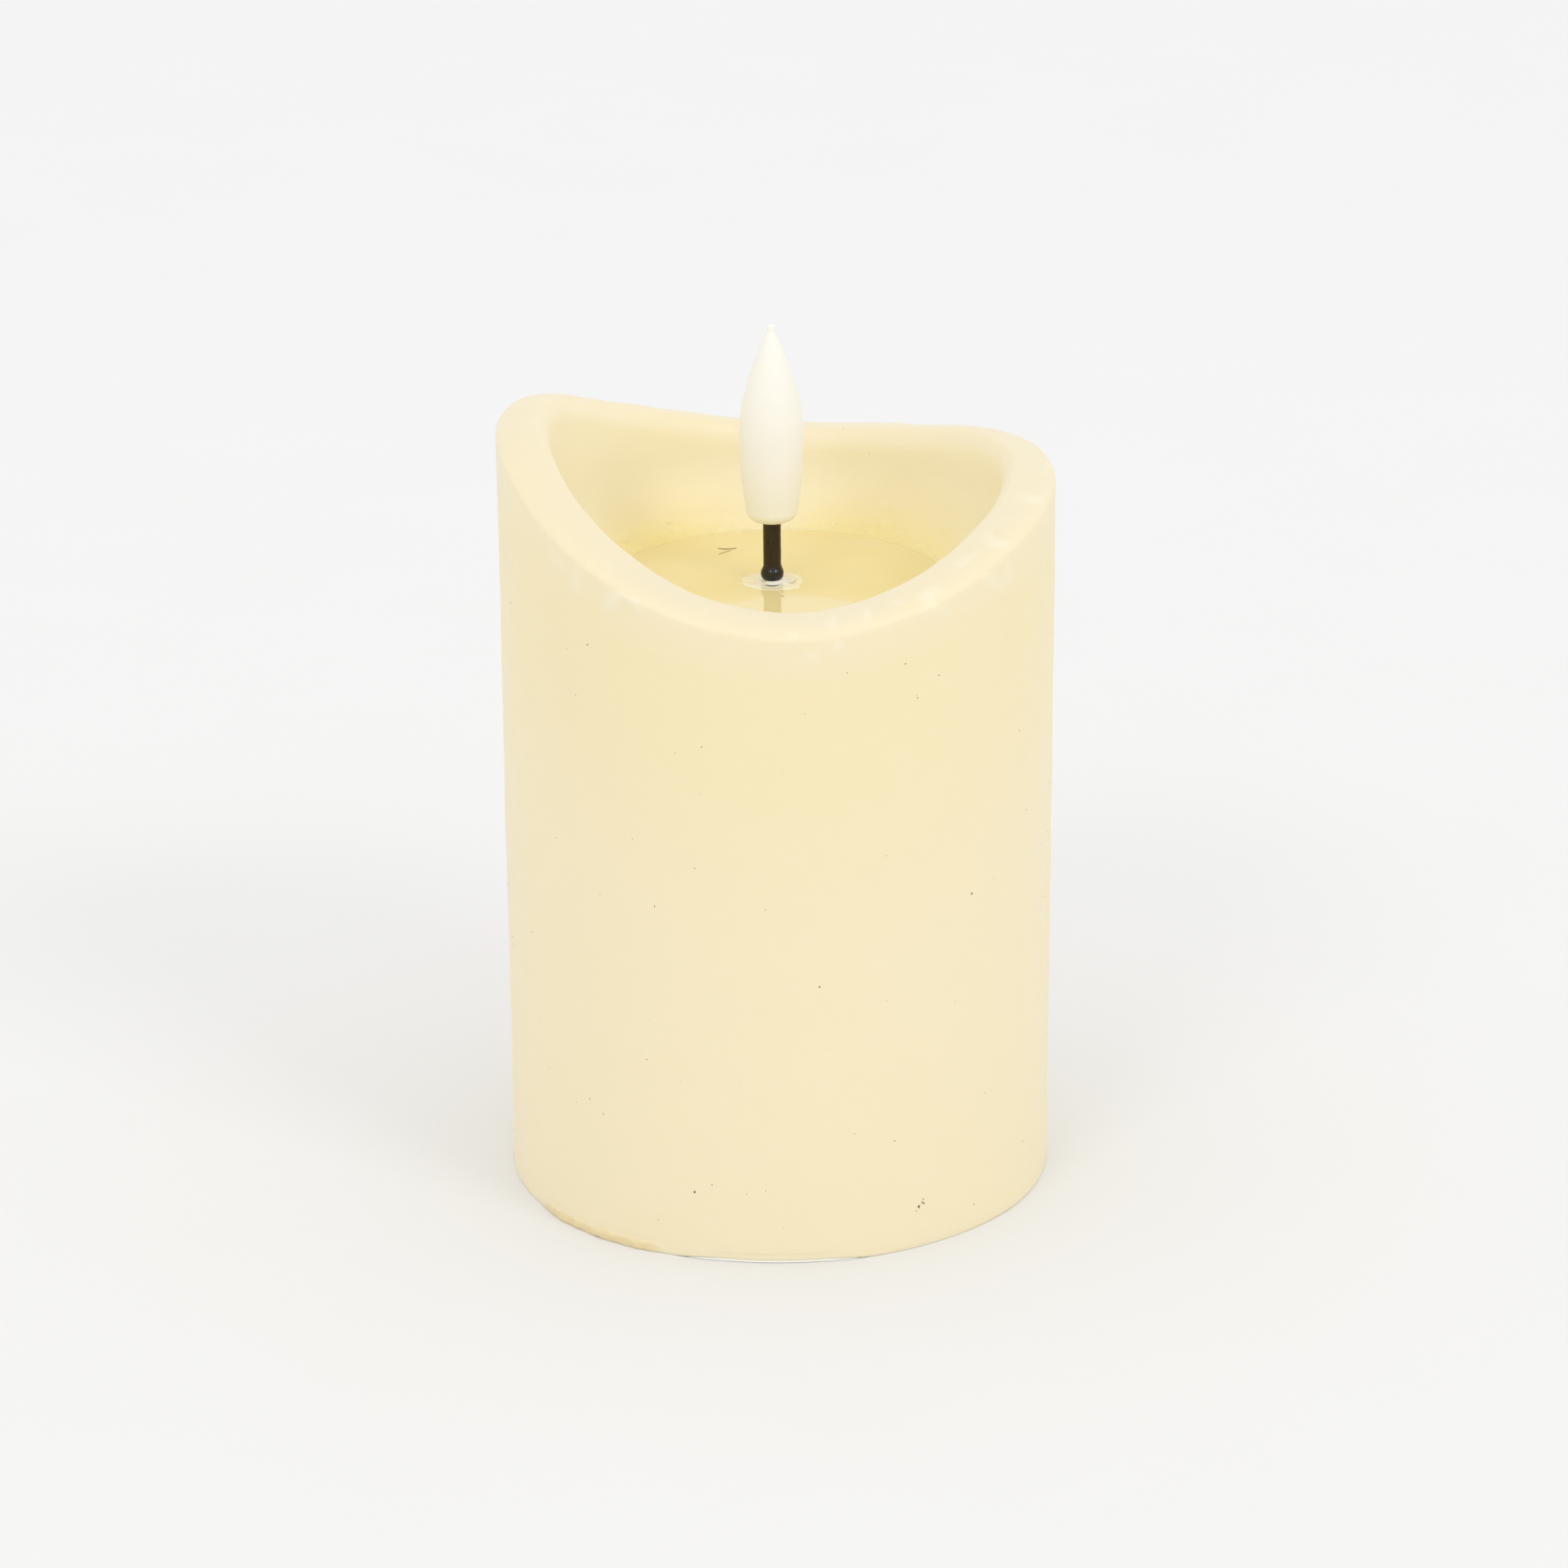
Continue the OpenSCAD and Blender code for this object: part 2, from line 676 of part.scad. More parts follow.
wax_shell();
melt_pool();
wick_bushing();
wick_tube();
wick_bead();
wick_seal();
flame_diffuser();
flame_led();
led_legs();
led_wire_red();
led_wire_black();
core_housing();
glue_beads();
base_plate();
base_screws();
battery_left();
battery_right();
battery_jackets();
positive_contact();
negative_contact();
negative_spring();
battery_wire_red();
battery_wire_black();
battery_door();
door_pin();
door_lock();
bridge_plate();
bridge_spring();
timer_board();
board_screws();
timer_chip();
chip_legs();
timer_crystal();
dropper_resistor();
filter_capacitor();
slide_switch();
switch_knob();
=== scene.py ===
"""Looks of the flameless LED candle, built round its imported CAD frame. Metres, +Z up."""
import json
import math

import bpy
import numpy as np
from mathutils import Matrix, Vector, noise
from mathutils.bvhtree import BVHTree


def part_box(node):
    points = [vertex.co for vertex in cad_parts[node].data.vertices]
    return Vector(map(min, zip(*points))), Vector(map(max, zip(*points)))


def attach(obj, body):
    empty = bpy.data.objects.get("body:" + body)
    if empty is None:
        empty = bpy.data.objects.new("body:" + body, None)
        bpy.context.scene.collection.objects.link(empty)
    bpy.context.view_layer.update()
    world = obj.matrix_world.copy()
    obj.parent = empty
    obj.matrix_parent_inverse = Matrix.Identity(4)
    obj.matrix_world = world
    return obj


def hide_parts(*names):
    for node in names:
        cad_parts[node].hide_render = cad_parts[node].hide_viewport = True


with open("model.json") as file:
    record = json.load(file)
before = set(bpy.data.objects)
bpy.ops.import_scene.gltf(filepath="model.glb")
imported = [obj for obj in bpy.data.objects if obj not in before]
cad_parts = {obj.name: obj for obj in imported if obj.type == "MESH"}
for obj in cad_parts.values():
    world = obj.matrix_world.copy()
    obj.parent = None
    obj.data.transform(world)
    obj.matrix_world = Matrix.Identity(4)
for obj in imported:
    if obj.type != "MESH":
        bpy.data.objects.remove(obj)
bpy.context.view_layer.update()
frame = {"nodes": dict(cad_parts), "record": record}

MM = 0.001
TURN = 2 * math.pi
CANDLE = "candle"
random = np.random.default_rng(7)

# ---------------------------------------------------------------- sizes, read from the frame where it has them

wax_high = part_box("wax_shell")[1]
pool_low, pool_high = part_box("melt_pool")
flame_low, flame_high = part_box("flame_diffuser")
tube_low, tube_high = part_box("wick_tube")
bead_low, bead_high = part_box("wick_bead")
seal_low, seal_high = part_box("wick_seal")
plate_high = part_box("base_plate")[1]

WAX_R = wax_high.x
POOL_R = pool_high.x
POOL_Z = pool_high.z
FLOOR_Z = pool_low.z                    # wax under the pool
PLATE_PLAY = 0.5 * MM                   # gap between the base plate and the wax
CAVITY_R = plate_high.x + PLATE_PLAY
CAVITY_Z = 70 * MM                      # roof of the cavity for the core
WICK_X = (tube_low.x + tube_high.x) / 2
WICK_R = (tube_high.x - tube_low.x) / 2
SLEEVE_WALL = 0.37 * MM                 # wall of the wick's sleeve
HOLE_R = 2.55 * MM                      # hole in the wax for the bushing
CREST_R = 30.3 * MM
LIP_R = 28.35 * MM
SHOULDER = 2.3 * MM                     # depth of the rounding outside the crest
LIP_ROUND = 3.2 * MM                    # depth of the rounding inside the crest
RIM_WAVES = (1, 2, 3, 4)                # waves per turn of the crest's height
BOWL_RISE = 9 * MM                      # greatest height of the bowl's concave foot
FOOT_ROUND = 0.12 * MM                  # rounding of the pillar's foot
FRONT_LIFT = 0.42                       # lift of the foot's front edge, in millimetres
LEDGE = (208, 216, 238, 247)            # degrees at which the foot's ledge starts, is full, fades, ends
QUARTER = 1.57                          # a quarter turn in radians, for shares of a rounding


def rim_wave_table():
    """Mean height of the rim's crest and its waves, read from the CAD wax."""
    points = np.array([v.co for v in frame["nodes"]["wax_shell"].data.vertices])
    radius = np.hypot(points[:, 0], points[:, 1])
    crest = points[(abs(radius - CREST_R) < 0.02 * MM) & (points[:, 2] > POOL_Z)]
    angle = np.arctan2(crest[:, 1], crest[:, 0])
    terms = [np.ones_like(angle)]
    for k in RIM_WAVES:
        terms += [np.cos(k * angle), np.sin(k * angle)]
    return np.linalg.lstsq(np.stack(terms, 1), crest[:, 2], rcond=None)[0]


RIM = rim_wave_table()


def rim_z(angle):
    """Height of the rim's crest at an angle round the candle."""
    z = RIM[0] + 0 * angle
    for k in RIM_WAVES:
        z = z + RIM[2 * k - 1] * np.cos(k * angle) + RIM[2 * k] * np.sin(k * angle)
    return z


# ---------------------------------------------------------------- mesh helpers

def smooth_step(low, high, value):
    """0 below low, 1 above high, and a soft change between them."""
    t = np.clip((value - low) / (high - low), 0, 1)
    return t * t * (3 - 2 * t)


def rough(points, size, seed):
    """Smooth noise from about -1 to 1 at points, with features of the given size in metres."""
    shift = Vector((seed * 3.1, seed * 1.7, seed * 2.3))
    flat = points.reshape(-1, 3)
    values = [noise.noise(Vector(p) / size + shift) for p in flat]
    return np.array(values).reshape(points.shape[:-1]) * 1.6


def circle(angle):
    """Points on the unit circle at the angles given."""
    return np.stack([np.cos(angle), np.sin(angle), 0 * angle], 1)


def add_mesh(name, points, faces, sharp=40):
    """A smooth-shaded mesh object, with edges steeper than sharp degrees kept sharp."""
    mesh = bpy.data.meshes.new(name)
    mesh.from_pydata([tuple(p) for p in points], [], faces)
    mesh.validate()
    mesh.shade_smooth()
    mesh.set_sharp_from_angle(angle=math.radians(sharp))
    piece = bpy.data.objects.new(name, mesh)
    bpy.context.scene.collection.objects.link(piece)
    return piece


def lathe(name, rings, sharp=40):
    """A mesh through rings, an array of [ring, place round it, xyz], the last joined to the first.
    Rings that run up the outside give faces that look outwards."""
    count, around = rings.shape[:2]
    index = np.arange(count * around).reshape(count, around)
    faces = []
    for i in range(count):
        low, high = index[i], index[(i + 1) % count]
        for k in range(around):
            n = (k + 1) % around
            faces.append((int(low[k]), int(low[n]), int(high[n]), int(high[k])))
    return add_mesh(name, rings.reshape(-1, 3), faces, sharp)


def turned(section, around, x=0.0):
    """Rings of a turned shape round an axis at x. section holds [radius, height] rows."""
    angle = np.arange(around) * TURN / around
    section = np.asarray(section, float)
    ring = np.stack([np.cos(angle), np.sin(angle)], 1)
    flat = section[:, None, :1] * ring[None] + np.array([x, 0.0])
    height = np.repeat(section[:, None, 1:], around, axis=1)
    return np.concatenate([flat, height], axis=2)


def arc(centre_r, centre_z, radius_r, radius_z, start, end, steps):
    """Section points on an ellipse, angles in degrees from the outward direction."""
    t = np.radians(np.linspace(start, end, steps))
    return np.stack([centre_r + radius_r * np.cos(t), centre_z + radius_z * np.sin(t)], 1)


def place(piece, body, *nodes, slot, material):
    """Hooks a piece up: its body, the CAD nodes that it stands for and its finish. Its slot is not used."""
    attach(piece, body)
    if nodes:
        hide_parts(*nodes)
    piece.data.materials.clear()
    piece.data.materials.append(material)
    return piece


def store(piece, name, values):
    """Keeps one number a vertex on the mesh, for its finish to read."""
    attribute = piece.data.attributes.new(name, "FLOAT", "POINT")
    attribute.data.foreach_set("value", np.asarray(values, np.float32).ravel())


# ---------------------------------------------------------------- small shapes, many to a mesh

def joined(name, shapes):
    """One mesh piece from many (points, faces) shapes."""
    points, faces = [], []
    for own_points, own_faces in shapes:
        first = len(points)
        points += [tuple(p) for p in own_points]
        faces += [tuple(first + i for i in face) for face in own_faces]
    return add_mesh(name, points, faces, sharp=60)


def axes_on(normal, spin=0.0):
    """Two directions that lie in the surface with that normal."""
    normal = Vector(normal).normalized()
    side = normal.orthogonal().normalized()
    side = Matrix.Rotation(spin, 3, normal) @ side
    return side, normal.cross(side), normal


def tube_faces(rows, sides):
    """Faces of a closed tube whose points come in rows, with the given number of sides."""
    faces = []
    for r in range(rows - 1):
        for k in range(sides):
            n = (k + 1) % sides
            faces.append((r * sides + k, r * sides + n, (r + 1) * sides + n, (r + 1) * sides + k))
    return faces + [tuple(range(sides))[::-1], tuple(range((rows - 1) * sides, rows * sides))]


def dome(at, normal, radius, height, sides=9):
    """A small drop on a surface, its top in the direction of the normal given."""
    side, across, up = axes_on(normal)
    points = []
    levels = (-25, 5, 32, 62)       # degrees above the drop's widest ring
    for t in levels:
        ring = math.cos(math.radians(t)) * radius
        rise = math.sin(math.radians(t)) * height
        for k in range(sides):
            a = TURN * k / sides
            points.append(at + side * (ring * math.cos(a)) + across * (ring * math.sin(a)) + up * rise)
    return points, tube_faces(len(levels), sides)


def flake(at, normal, length, width, thick, spin, bend=0.0, sides=10):
    """A thin chip that lies on a surface, its long ends lifted by bend."""
    side, across, up = axes_on(normal, spin)
    points = []
    for level in (-0.5, 0.5):
        for k in range(sides):
            a = TURN * k / sides
            wave = 1 + 0.16 * math.sin(3 * a + spin) + 0.1 * math.sin(5 * a)
            x, y = length / 2 * math.cos(a) * wave, width / 2 * math.sin(a) * wave
            rise = thick * level + bend * (2 * x / length) ** 2
            points.append(at + side * x + across * y + up * rise)
    return points, tube_faces(2, sides)


def strand(path, radius, sides=6, taper=0.5):
    """A fine round strand through the points of a path, thinner at its ends."""
    path = [Vector(p) for p in path]
    for _ in range(2):      # cut the corners to round them
        fine = [path[0]]
        for a, b in zip(path, path[1:]):
            fine += [a.lerp(b, 0.25), a.lerp(b, 0.75)]
        path = fine + [path[-1]]
    points, count = [], len(path)
    for i, p in enumerate(path):
        way = (path[min(i + 1, count - 1)] - path[max(i - 1, 0)]).normalized()
        side = way.orthogonal() if i == 0 else side - way * side.dot(way)
        side = side.normalized()
        across = way.cross(side)
        r = radius * (1 - (1 - taper) * abs(2 * i / (count - 1) - 1) ** 3)
        for k in range(sides):
            a = TURN * k / sides
            points.append(p + side * (r * math.cos(a)) + across * (r * math.sin(a)))
    return points, tube_faces(count, sides)


# ---------------------------------------------------------------- node helpers

class Finish:
    """A material made of nodes. Sizes are in millimetres and colours are linear."""

    def __init__(self, name, colour, roughness, **sockets):
        self.material = bpy.data.materials.new(name)
        self.material.use_nodes = True
        self.nodes = self.material.node_tree.nodes
        self.links = self.material.node_tree.links
        self.shader = self.nodes["Principled BSDF"]
        self.where = self.add("ShaderNodeTexCoord").outputs["Object"]
        self.colour = None
        self.first = (*colour, 1)
        self.shader.inputs["Base Color"].default_value = self.first
        self.shader.inputs["Roughness"].default_value = roughness
        for key, value in sockets.items():
            self.shader.inputs[key.replace("_", " ")].default_value = value

    def add(self, kind, links=(), values=(), **settings):
        """A node with its settings, its input values and its links, as {input: output} dicts."""
        node = self.nodes.new(kind)
        for key, value in settings.items():
            setattr(node, key, value)
        for key, value in dict(values).items():
            node.inputs[key].default_value = value
        for key, value in dict(links).items():
            self.links.new(value, node.inputs[key])
        return node

    def stretched(self, stretch):
        """The place on the object with each axis stretched, for grain that runs one way."""
        return self.add("ShaderNodeMapping", {"Vector": self.where}, {"Scale": stretch}).outputs["Vector"]

    def noise(self, size, detail=2.0, where=None, low=0.35, high=0.65):
        """Noise from 0 to 1 with features of that size; low and high set its contrast."""
        made = self.add("ShaderNodeTexNoise", {"Vector": where or self.where},
                        {"Scale": 1000 / size, "Detail": detail})
        return self.ramp(made.outputs["Fac"], low, high)

    def cells(self, size, low, high):
        """Small round scattered spots, one to each cell of that size."""
        made = self.add("ShaderNodeTexVoronoi", {"Vector": self.where},
                        {"Scale": 1000 / size, "Randomness": 1.0})
        return self.ramp(made.outputs["Distance"], high, low)

    def ramp(self, value, low, high, start=0.0, end=1.0):
        """The value's range from low to high spread from start to end."""
        made = self.add("ShaderNodeMapRange", {"Value": value},
                        {"From Min": low, "From Max": high, "To Min": start, "To Max": end})
        return made.outputs["Result"]

    def times(self, a, b):
        """The product of two outputs or numbers."""
        node = self.add("ShaderNodeMath", operation="MULTIPLY")
        for socket, value in zip(node.inputs, (a, b)):
            if isinstance(value, (int, float)):
                socket.default_value = value
            else:
                self.links.new(value, socket)
        return node.outputs[0]

    def attribute(self, name):
        """The number that the mesh keeps under that name."""
        return self.add("ShaderNodeAttribute", attribute_name=name).outputs["Fac"]

    def tint(self, colour, share, amount=1.0):
        """Mixes another colour in where share is high."""
        mix = self.add("ShaderNodeMix", data_type="RGBA")
        self.links.new(self.times(share, amount), mix.inputs["Factor"])
        if self.colour is None:
            mix.inputs["A"].default_value = self.first
        else:
            self.links.new(self.colour, mix.inputs["A"])
        mix.inputs["B"].default_value = (*colour, 1)
        self.colour = mix.outputs["Result"]
        self.links.new(self.colour, self.shader.inputs["Base Color"])
        return self

    def gloss(self, value, low, high):
        """Roughness from low to high as value goes from 0 to 1."""
        self.links.new(self.ramp(value, 0, 1, low, high), self.shader.inputs["Roughness"])
        return self

    def bump(self, *layers, edge=0.0):
        """Relief from (value, depth in millimetres) layers; edge rounds sharp edges by that radius."""
        normal = None
        if edge:
            normal = self.add("ShaderNodeBevel", {}, {"Radius": edge * MM}, samples=6).outputs["Normal"]
        for value, depth in layers:
            links = {"Height": value}
            if normal:
                links["Normal"] = normal
            normal = self.add("ShaderNodeBump", links, {"Distance": depth * MM}).outputs["Normal"]
        self.links.new(normal, self.shader.inputs["Normal"])
        return self


# ---------------------------------------------------------------- finishes

def wax_finish():
    """Ivory wax, tinted by the places kept on its mesh, with faint clouds, grain and specks. Some tints are
    painted light: bounce light in the bowl, and shade on the rim's top and along the foot's ledge.
    """
    f = Finish("wax_ivory", (0.865, 0.765, 0.53), 0.42, Subsurface_Weight=0.35,
               Subsurface_Radius=(1.0, 0.9, 0.75), Subsurface_Scale=0.0015, Specular_IOR_Level=0.42)
    f.tint((0.87, 0.755, 0.44), f.attribute("warm"))
    f.tint((0.91, 0.845, 0.655), f.attribute("inside"))
    # Painted bounce light: deeper yellow inside the bowl, where light bounces between its walls
    f.tint((0.93, 0.77, 0.29), f.attribute("bowl"))
    # Painted shade: the rim's upward-facing top is tinted darker, to offset the extra light it gets from above
    f.tint((0.8, 0.72, 0.525), f.attribute("pale"))
    f.tint((0.87, 0.815, 0.655), f.attribute("smear"))
    # Painted shade: dark tan along the foot's ledge
    f.tint((0.74, 0.59, 0.31), f.attribute("ledge"))
    cloud = f.noise(22, 3, low=0.3, high=0.7)
    f.tint((0.87, 0.765, 0.5), cloud, 0.3)
    f.tint((0.89, 0.82, 0.64), f.noise(1.6, 4, low=0.55, high=0.8), 0.12)
    f.tint((0.55, 0.43, 0.25), f.cells(6.5, 0.02, 0.035), 0.25)
    f.gloss(f.noise(4, 5, low=0.3, high=0.7), 0.34, 0.52)
    f.bump((f.noise(14, 1, low=0, high=1), 0.12), (f.noise(2.2, 3, low=0, high=1), 0.035),
           (f.noise(0.35, 2, low=0, high=1), 0.006))
    return f.material


def pool_finish():
    """Poured wax: glossy, more yellow than the pillar."""
    f = Finish("wax_melted", (0.845, 0.7, 0.315), 0.03, Subsurface_Weight=0.15,
               Subsurface_Radius=(1.0, 0.9, 0.75), Subsurface_Scale=0.0006, IOR=1.45)
    f.tint((0.85, 0.735, 0.395), f.noise(11, 2, low=0.3, high=0.7), 0.6)
    f.gloss(f.noise(7, 3), 0.0, 0.015)
    f.bump((f.noise(9, 1, low=0, high=1), 0.001))
    return f.material


def wick_finish():
    """Black sleeve with a lengthwise grain."""
    f = Finish("wick_sleeve", (0.02, 0.012, 0.003), 0.3, Specular_IOR_Level=0.32)
    f.tint((0.035, 0.022, 0.007), f.noise(0.9, 4, f.stretched((1, 1, 0.12))), 0.6)
    f.gloss(f.noise(0.6, 3), 0.25, 0.42)
    f.bump((f.noise(0.3, 3, f.stretched((1, 1, 0.15)), 0, 1), 0.02))
    return f.material


def bead_finish():
    """Glossy black glue."""
    f = Finish("wick_bead_black", (0.004, 0.0035, 0.003), 0.04, Specular_IOR_Level=0.5)
    f.tint((0.008, 0.007, 0.004), f.noise(0.8), 0.7)
    f.gloss(f.noise(0.7, 2), 0.02, 0.05)
    f.bump((f.noise(0.9, 1, low=0, high=1), 0.01))
    return f.material


def glue_finish():
    """Set adhesive: pale, with a milky inner part."""
    f = Finish("glue_clear", (0.9, 0.79, 0.5), 0.05, IOR=1.46)
    f.tint((0.91, 0.85, 0.66), f.noise(1.6, 3, low=0.4, high=0.62), 0.8)
    f.tint((0.95, 0.92, 0.81), f.attribute("milky"))
    f.gloss(f.noise(1.1, 2), 0.03, 0.1)
    f.bump((f.noise(0.9, 2, low=0, high=1), 0.02))
    return f.material


def drop_finish():
    """Small drops of wax."""
    f = Finish("wax_drop", (0.93, 0.85, 0.52), 0.15)
    f.tint((0.92, 0.81, 0.42), f.noise(0.9, 2), 0.6)
    f.gloss(f.noise(0.5), 0.08, 0.25)
    f.bump((f.noise(0.3, 2, low=0, high=1), 0.01))
    return f.material


def speck_finish(name, colour):
    """Dust and fibres."""
    f = Finish(name, colour, 0.7)
    f.tint(tuple(2 * c for c in colour), f.noise(0.1, 3), 0.5)
    f.bump((f.noise(0.05, 2, low=0, high=1), 0.01))
    return f.material


def gap_light_finish():
    """Pale colour painted as the light seen in the gap under the foot's front."""
    f = Finish("painted_gap_light", (0.97, 0.96, 0.9), 0.4)
    f.tint((0.94, 0.91, 0.8), f.noise(2.5, 3, low=0.45, high=0.7), 0.4)
    f.gloss(f.noise(1, 3), 0.35, 0.5)
    f.bump((f.noise(0.5, 2, low=0, high=1), 0.01))
    return f.material


def flame_finish():
    """Frosted plastic, warmer at its foot."""
    f = Finish("flame_frosted", (0.895, 0.87, 0.79), 0.5, Subsurface_Weight=0.15,
               Subsurface_Radius=(1, 0.92, 0.75), Subsurface_Scale=0.001, Specular_IOR_Level=0.4)
    f.tint((0.89, 0.875, 0.765), f.attribute("foot"), 0.8)
    f.tint((0.86, 0.83, 0.74), f.noise(2.6, 3, low=0.4, high=0.8), 0.2)
    f.gloss(f.noise(0.9, 3), 0.42, 0.55)
    f.bump((f.noise(0.25, 2, low=0, high=1), 0.006), (f.noise(3, 1, low=0, high=1), 0.03))
    return f.material


def moulded(name, colour, roughness=0.48, edge=0.12, grain=0.35):
    """Injection-moulded plastic: fine spark texture, faint flow marks and lighter scuffs."""
    darker = tuple(0.9 * c for c in colour)
    lighter = tuple(min(1, 1.08 * c + 0.01) for c in colour)
    f = Finish(name, colour, roughness)
    f.tint(darker, f.noise(9, 4, f.stretched((1, 0.4, 1))), 0.35)
    f.tint(lighter, f.noise(0.7, 3, low=0.6, high=0.8), 0.3)
    f.gloss(f.noise(3, 4), roughness - 0.07, roughness + 0.08)
    f.bump((f.noise(grain, 2, low=0, high=1), 0.02), (f.noise(6, 2, low=0, high=1), 0.03), edge=edge)
    return f.material


def metal(name, colour, roughness, stretch=(1, 1, 1)):
    """Plated or tinned metal with drawn scratches and a little tarnish."""
    f = Finish(name, colour, roughness, Metallic=1.0)
    f.tint(tuple(0.75 * c for c in colour), f.noise(1.8, 5, low=0.45, high=0.75), 0.5)
    scratch = f.noise(0.25, 4, f.stretched(stretch), 0.3, 0.7)
    f.gloss(scratch, roughness - 0.08, roughness + 0.12)
    f.bump((scratch, 0.008), edge=0.06)
    return f.material


def film(name, colour, roughness=0.2):
    """Shrink film over a part: glossy, with soft wrinkles."""
    f = Finish(name, colour, roughness, Coat_Weight=0.3, Coat_Roughness=0.1)
    f.tint(tuple(0.7 * c for c in colour), f.noise(5, 3), 0.3)
    f.gloss(f.noise(2, 3), roughness - 0.05, roughness + 0.1)
    f.bump((f.noise(3, 2, f.stretched((1, 1, 0.3)), 0, 1), 0.05), edge=0.05)
    return f.material


def wire_cover(name, colour):
    """Soft wire insulation."""
    f = Finish(name, colour, 0.38)
    f.tint(tuple(0.6 * c for c in colour), f.noise(1.5, 3), 0.4)
    f.gloss(f.noise(0.8), 0.3, 0.48)
    f.bump((f.noise(0.5, 2, low=0, high=1), 0.012))
    return f.material


def board_finish():
    """Green solder mask, lighter where copper tracks lie under it."""
    f = Finish("board_green", (0.02, 0.16, 0.05), 0.3, Coat_Weight=0.4, Coat_Roughness=0.15)
    tracks = f.add("ShaderNodeTexBrick", {"Vector": f.where},
                   {"Scale": 260, "Mortar Size": 0.03, "Color1": (0, 0, 0, 1), "Color2": (0, 0, 0, 1),
                    "Mortar": (1, 1, 1, 1)}, offset=0.37)
    f.tint((0.04, 0.28, 0.09), tracks.outputs["Color"], 0.9)
    f.tint((0.01, 0.1, 0.03), f.noise(4, 3), 0.4)
    f.gloss(f.noise(2), 0.22, 0.4)
    f.bump((tracks.outputs["Fac"], 0.03), edge=0.05)
    return f.material


def lens_finish():
    """Tinted epoxy of the LED."""
    f = Finish("led_epoxy", (0.9, 0.72, 0.3), 0.12, Transmission_Weight=0.5, IOR=1.5)
    f.tint((0.95, 0.85, 0.5), f.noise(1.2, 2), 0.5)
    f.gloss(f.noise(0.8), 0.08, 0.2)
    f.bump((f.noise(1, 1, low=0, high=1), 0.01))
    return f.material


DUST = speck_finish("dust_brown", (0.1, 0.06, 0.03))
FIBRE_BROWN = speck_finish("fibre_brown", (0.17, 0.085, 0.012))
FIBRE_PALE = speck_finish("fibre_pale", (0.38, 0.28, 0.12))
# Pale colour painted for the light in the gap under the foot's front
GAP_LIGHT = gap_light_finish()
DROP = drop_finish()
IVORY = (0.78, 0.74, 0.62)
FINISHES = {
    "wax": wax_finish(),
    "pool_wax": pool_finish(),
    "wick_black": wick_finish(),
    "wick_gloss": bead_finish(),
    "clear_glue": glue_finish(),
    "flame_plastic": flame_finish(),
    "led_lens": lens_finish(),
    "core_plastic": moulded("abs_core", IVORY),
    "base_plastic": moulded("abs_base", (0.77, 0.72, 0.6)),
    "door_plastic": moulded("abs_door", (0.75, 0.705, 0.59), 0.44),
    "lock_plastic": moulded("abs_lock", (0.68, 0.64, 0.53), 0.4, 0.08),
    "knob_black": moulded("nylon_knob", (0.018, 0.018, 0.018), 0.42, 0.08),
    "chip_black": moulded("epoxy_chip", (0.02, 0.02, 0.021), 0.5, 0.08, 0.2),
    "hot_glue": moulded("glue_hot_melt", (0.8, 0.75, 0.62), 0.3, 0.6, 1.5),
    "screw_steel": metal("zinc_screw", (0.62, 0.62, 0.6), 0.3, (1, 1, 0.2)),
    "tinned_steel": metal("tin_plate", (0.7, 0.7, 0.69), 0.3),
    "battery_can": metal("nickel_can", (0.66, 0.65, 0.63), 0.26, (1, 1, 0.1)),
    "contact_nickel": metal("nickel_strip", (0.7, 0.68, 0.64), 0.24, (0.1, 1, 1)),
    "spring_steel": metal("nickel_wire", (0.72, 0.71, 0.68), 0.22),
    "battery_film": film("film_green", (0.02, 0.09, 0.05)),
    "capacitor_film": film("film_blue", (0.01, 0.02, 0.07)),
    "resistor_tan": film("lacquer_tan", (0.5, 0.36, 0.18), 0.35),
    "circuit_board": board_finish(),
    "wire_red": wire_cover("pvc_red", (0.42, 0.015, 0.01)),
    "wire_black": wire_cover("pvc_black", (0.015, 0.015, 0.015)),
}

for row in frame["record"]["subparts"]:
    node = frame["nodes"][row["node"]]
    node.data.materials.clear()
    node.data.materials.append(FINISHES[row["material_slot"]])


# ---------------------------------------------------------------- wax

AROUND = 640


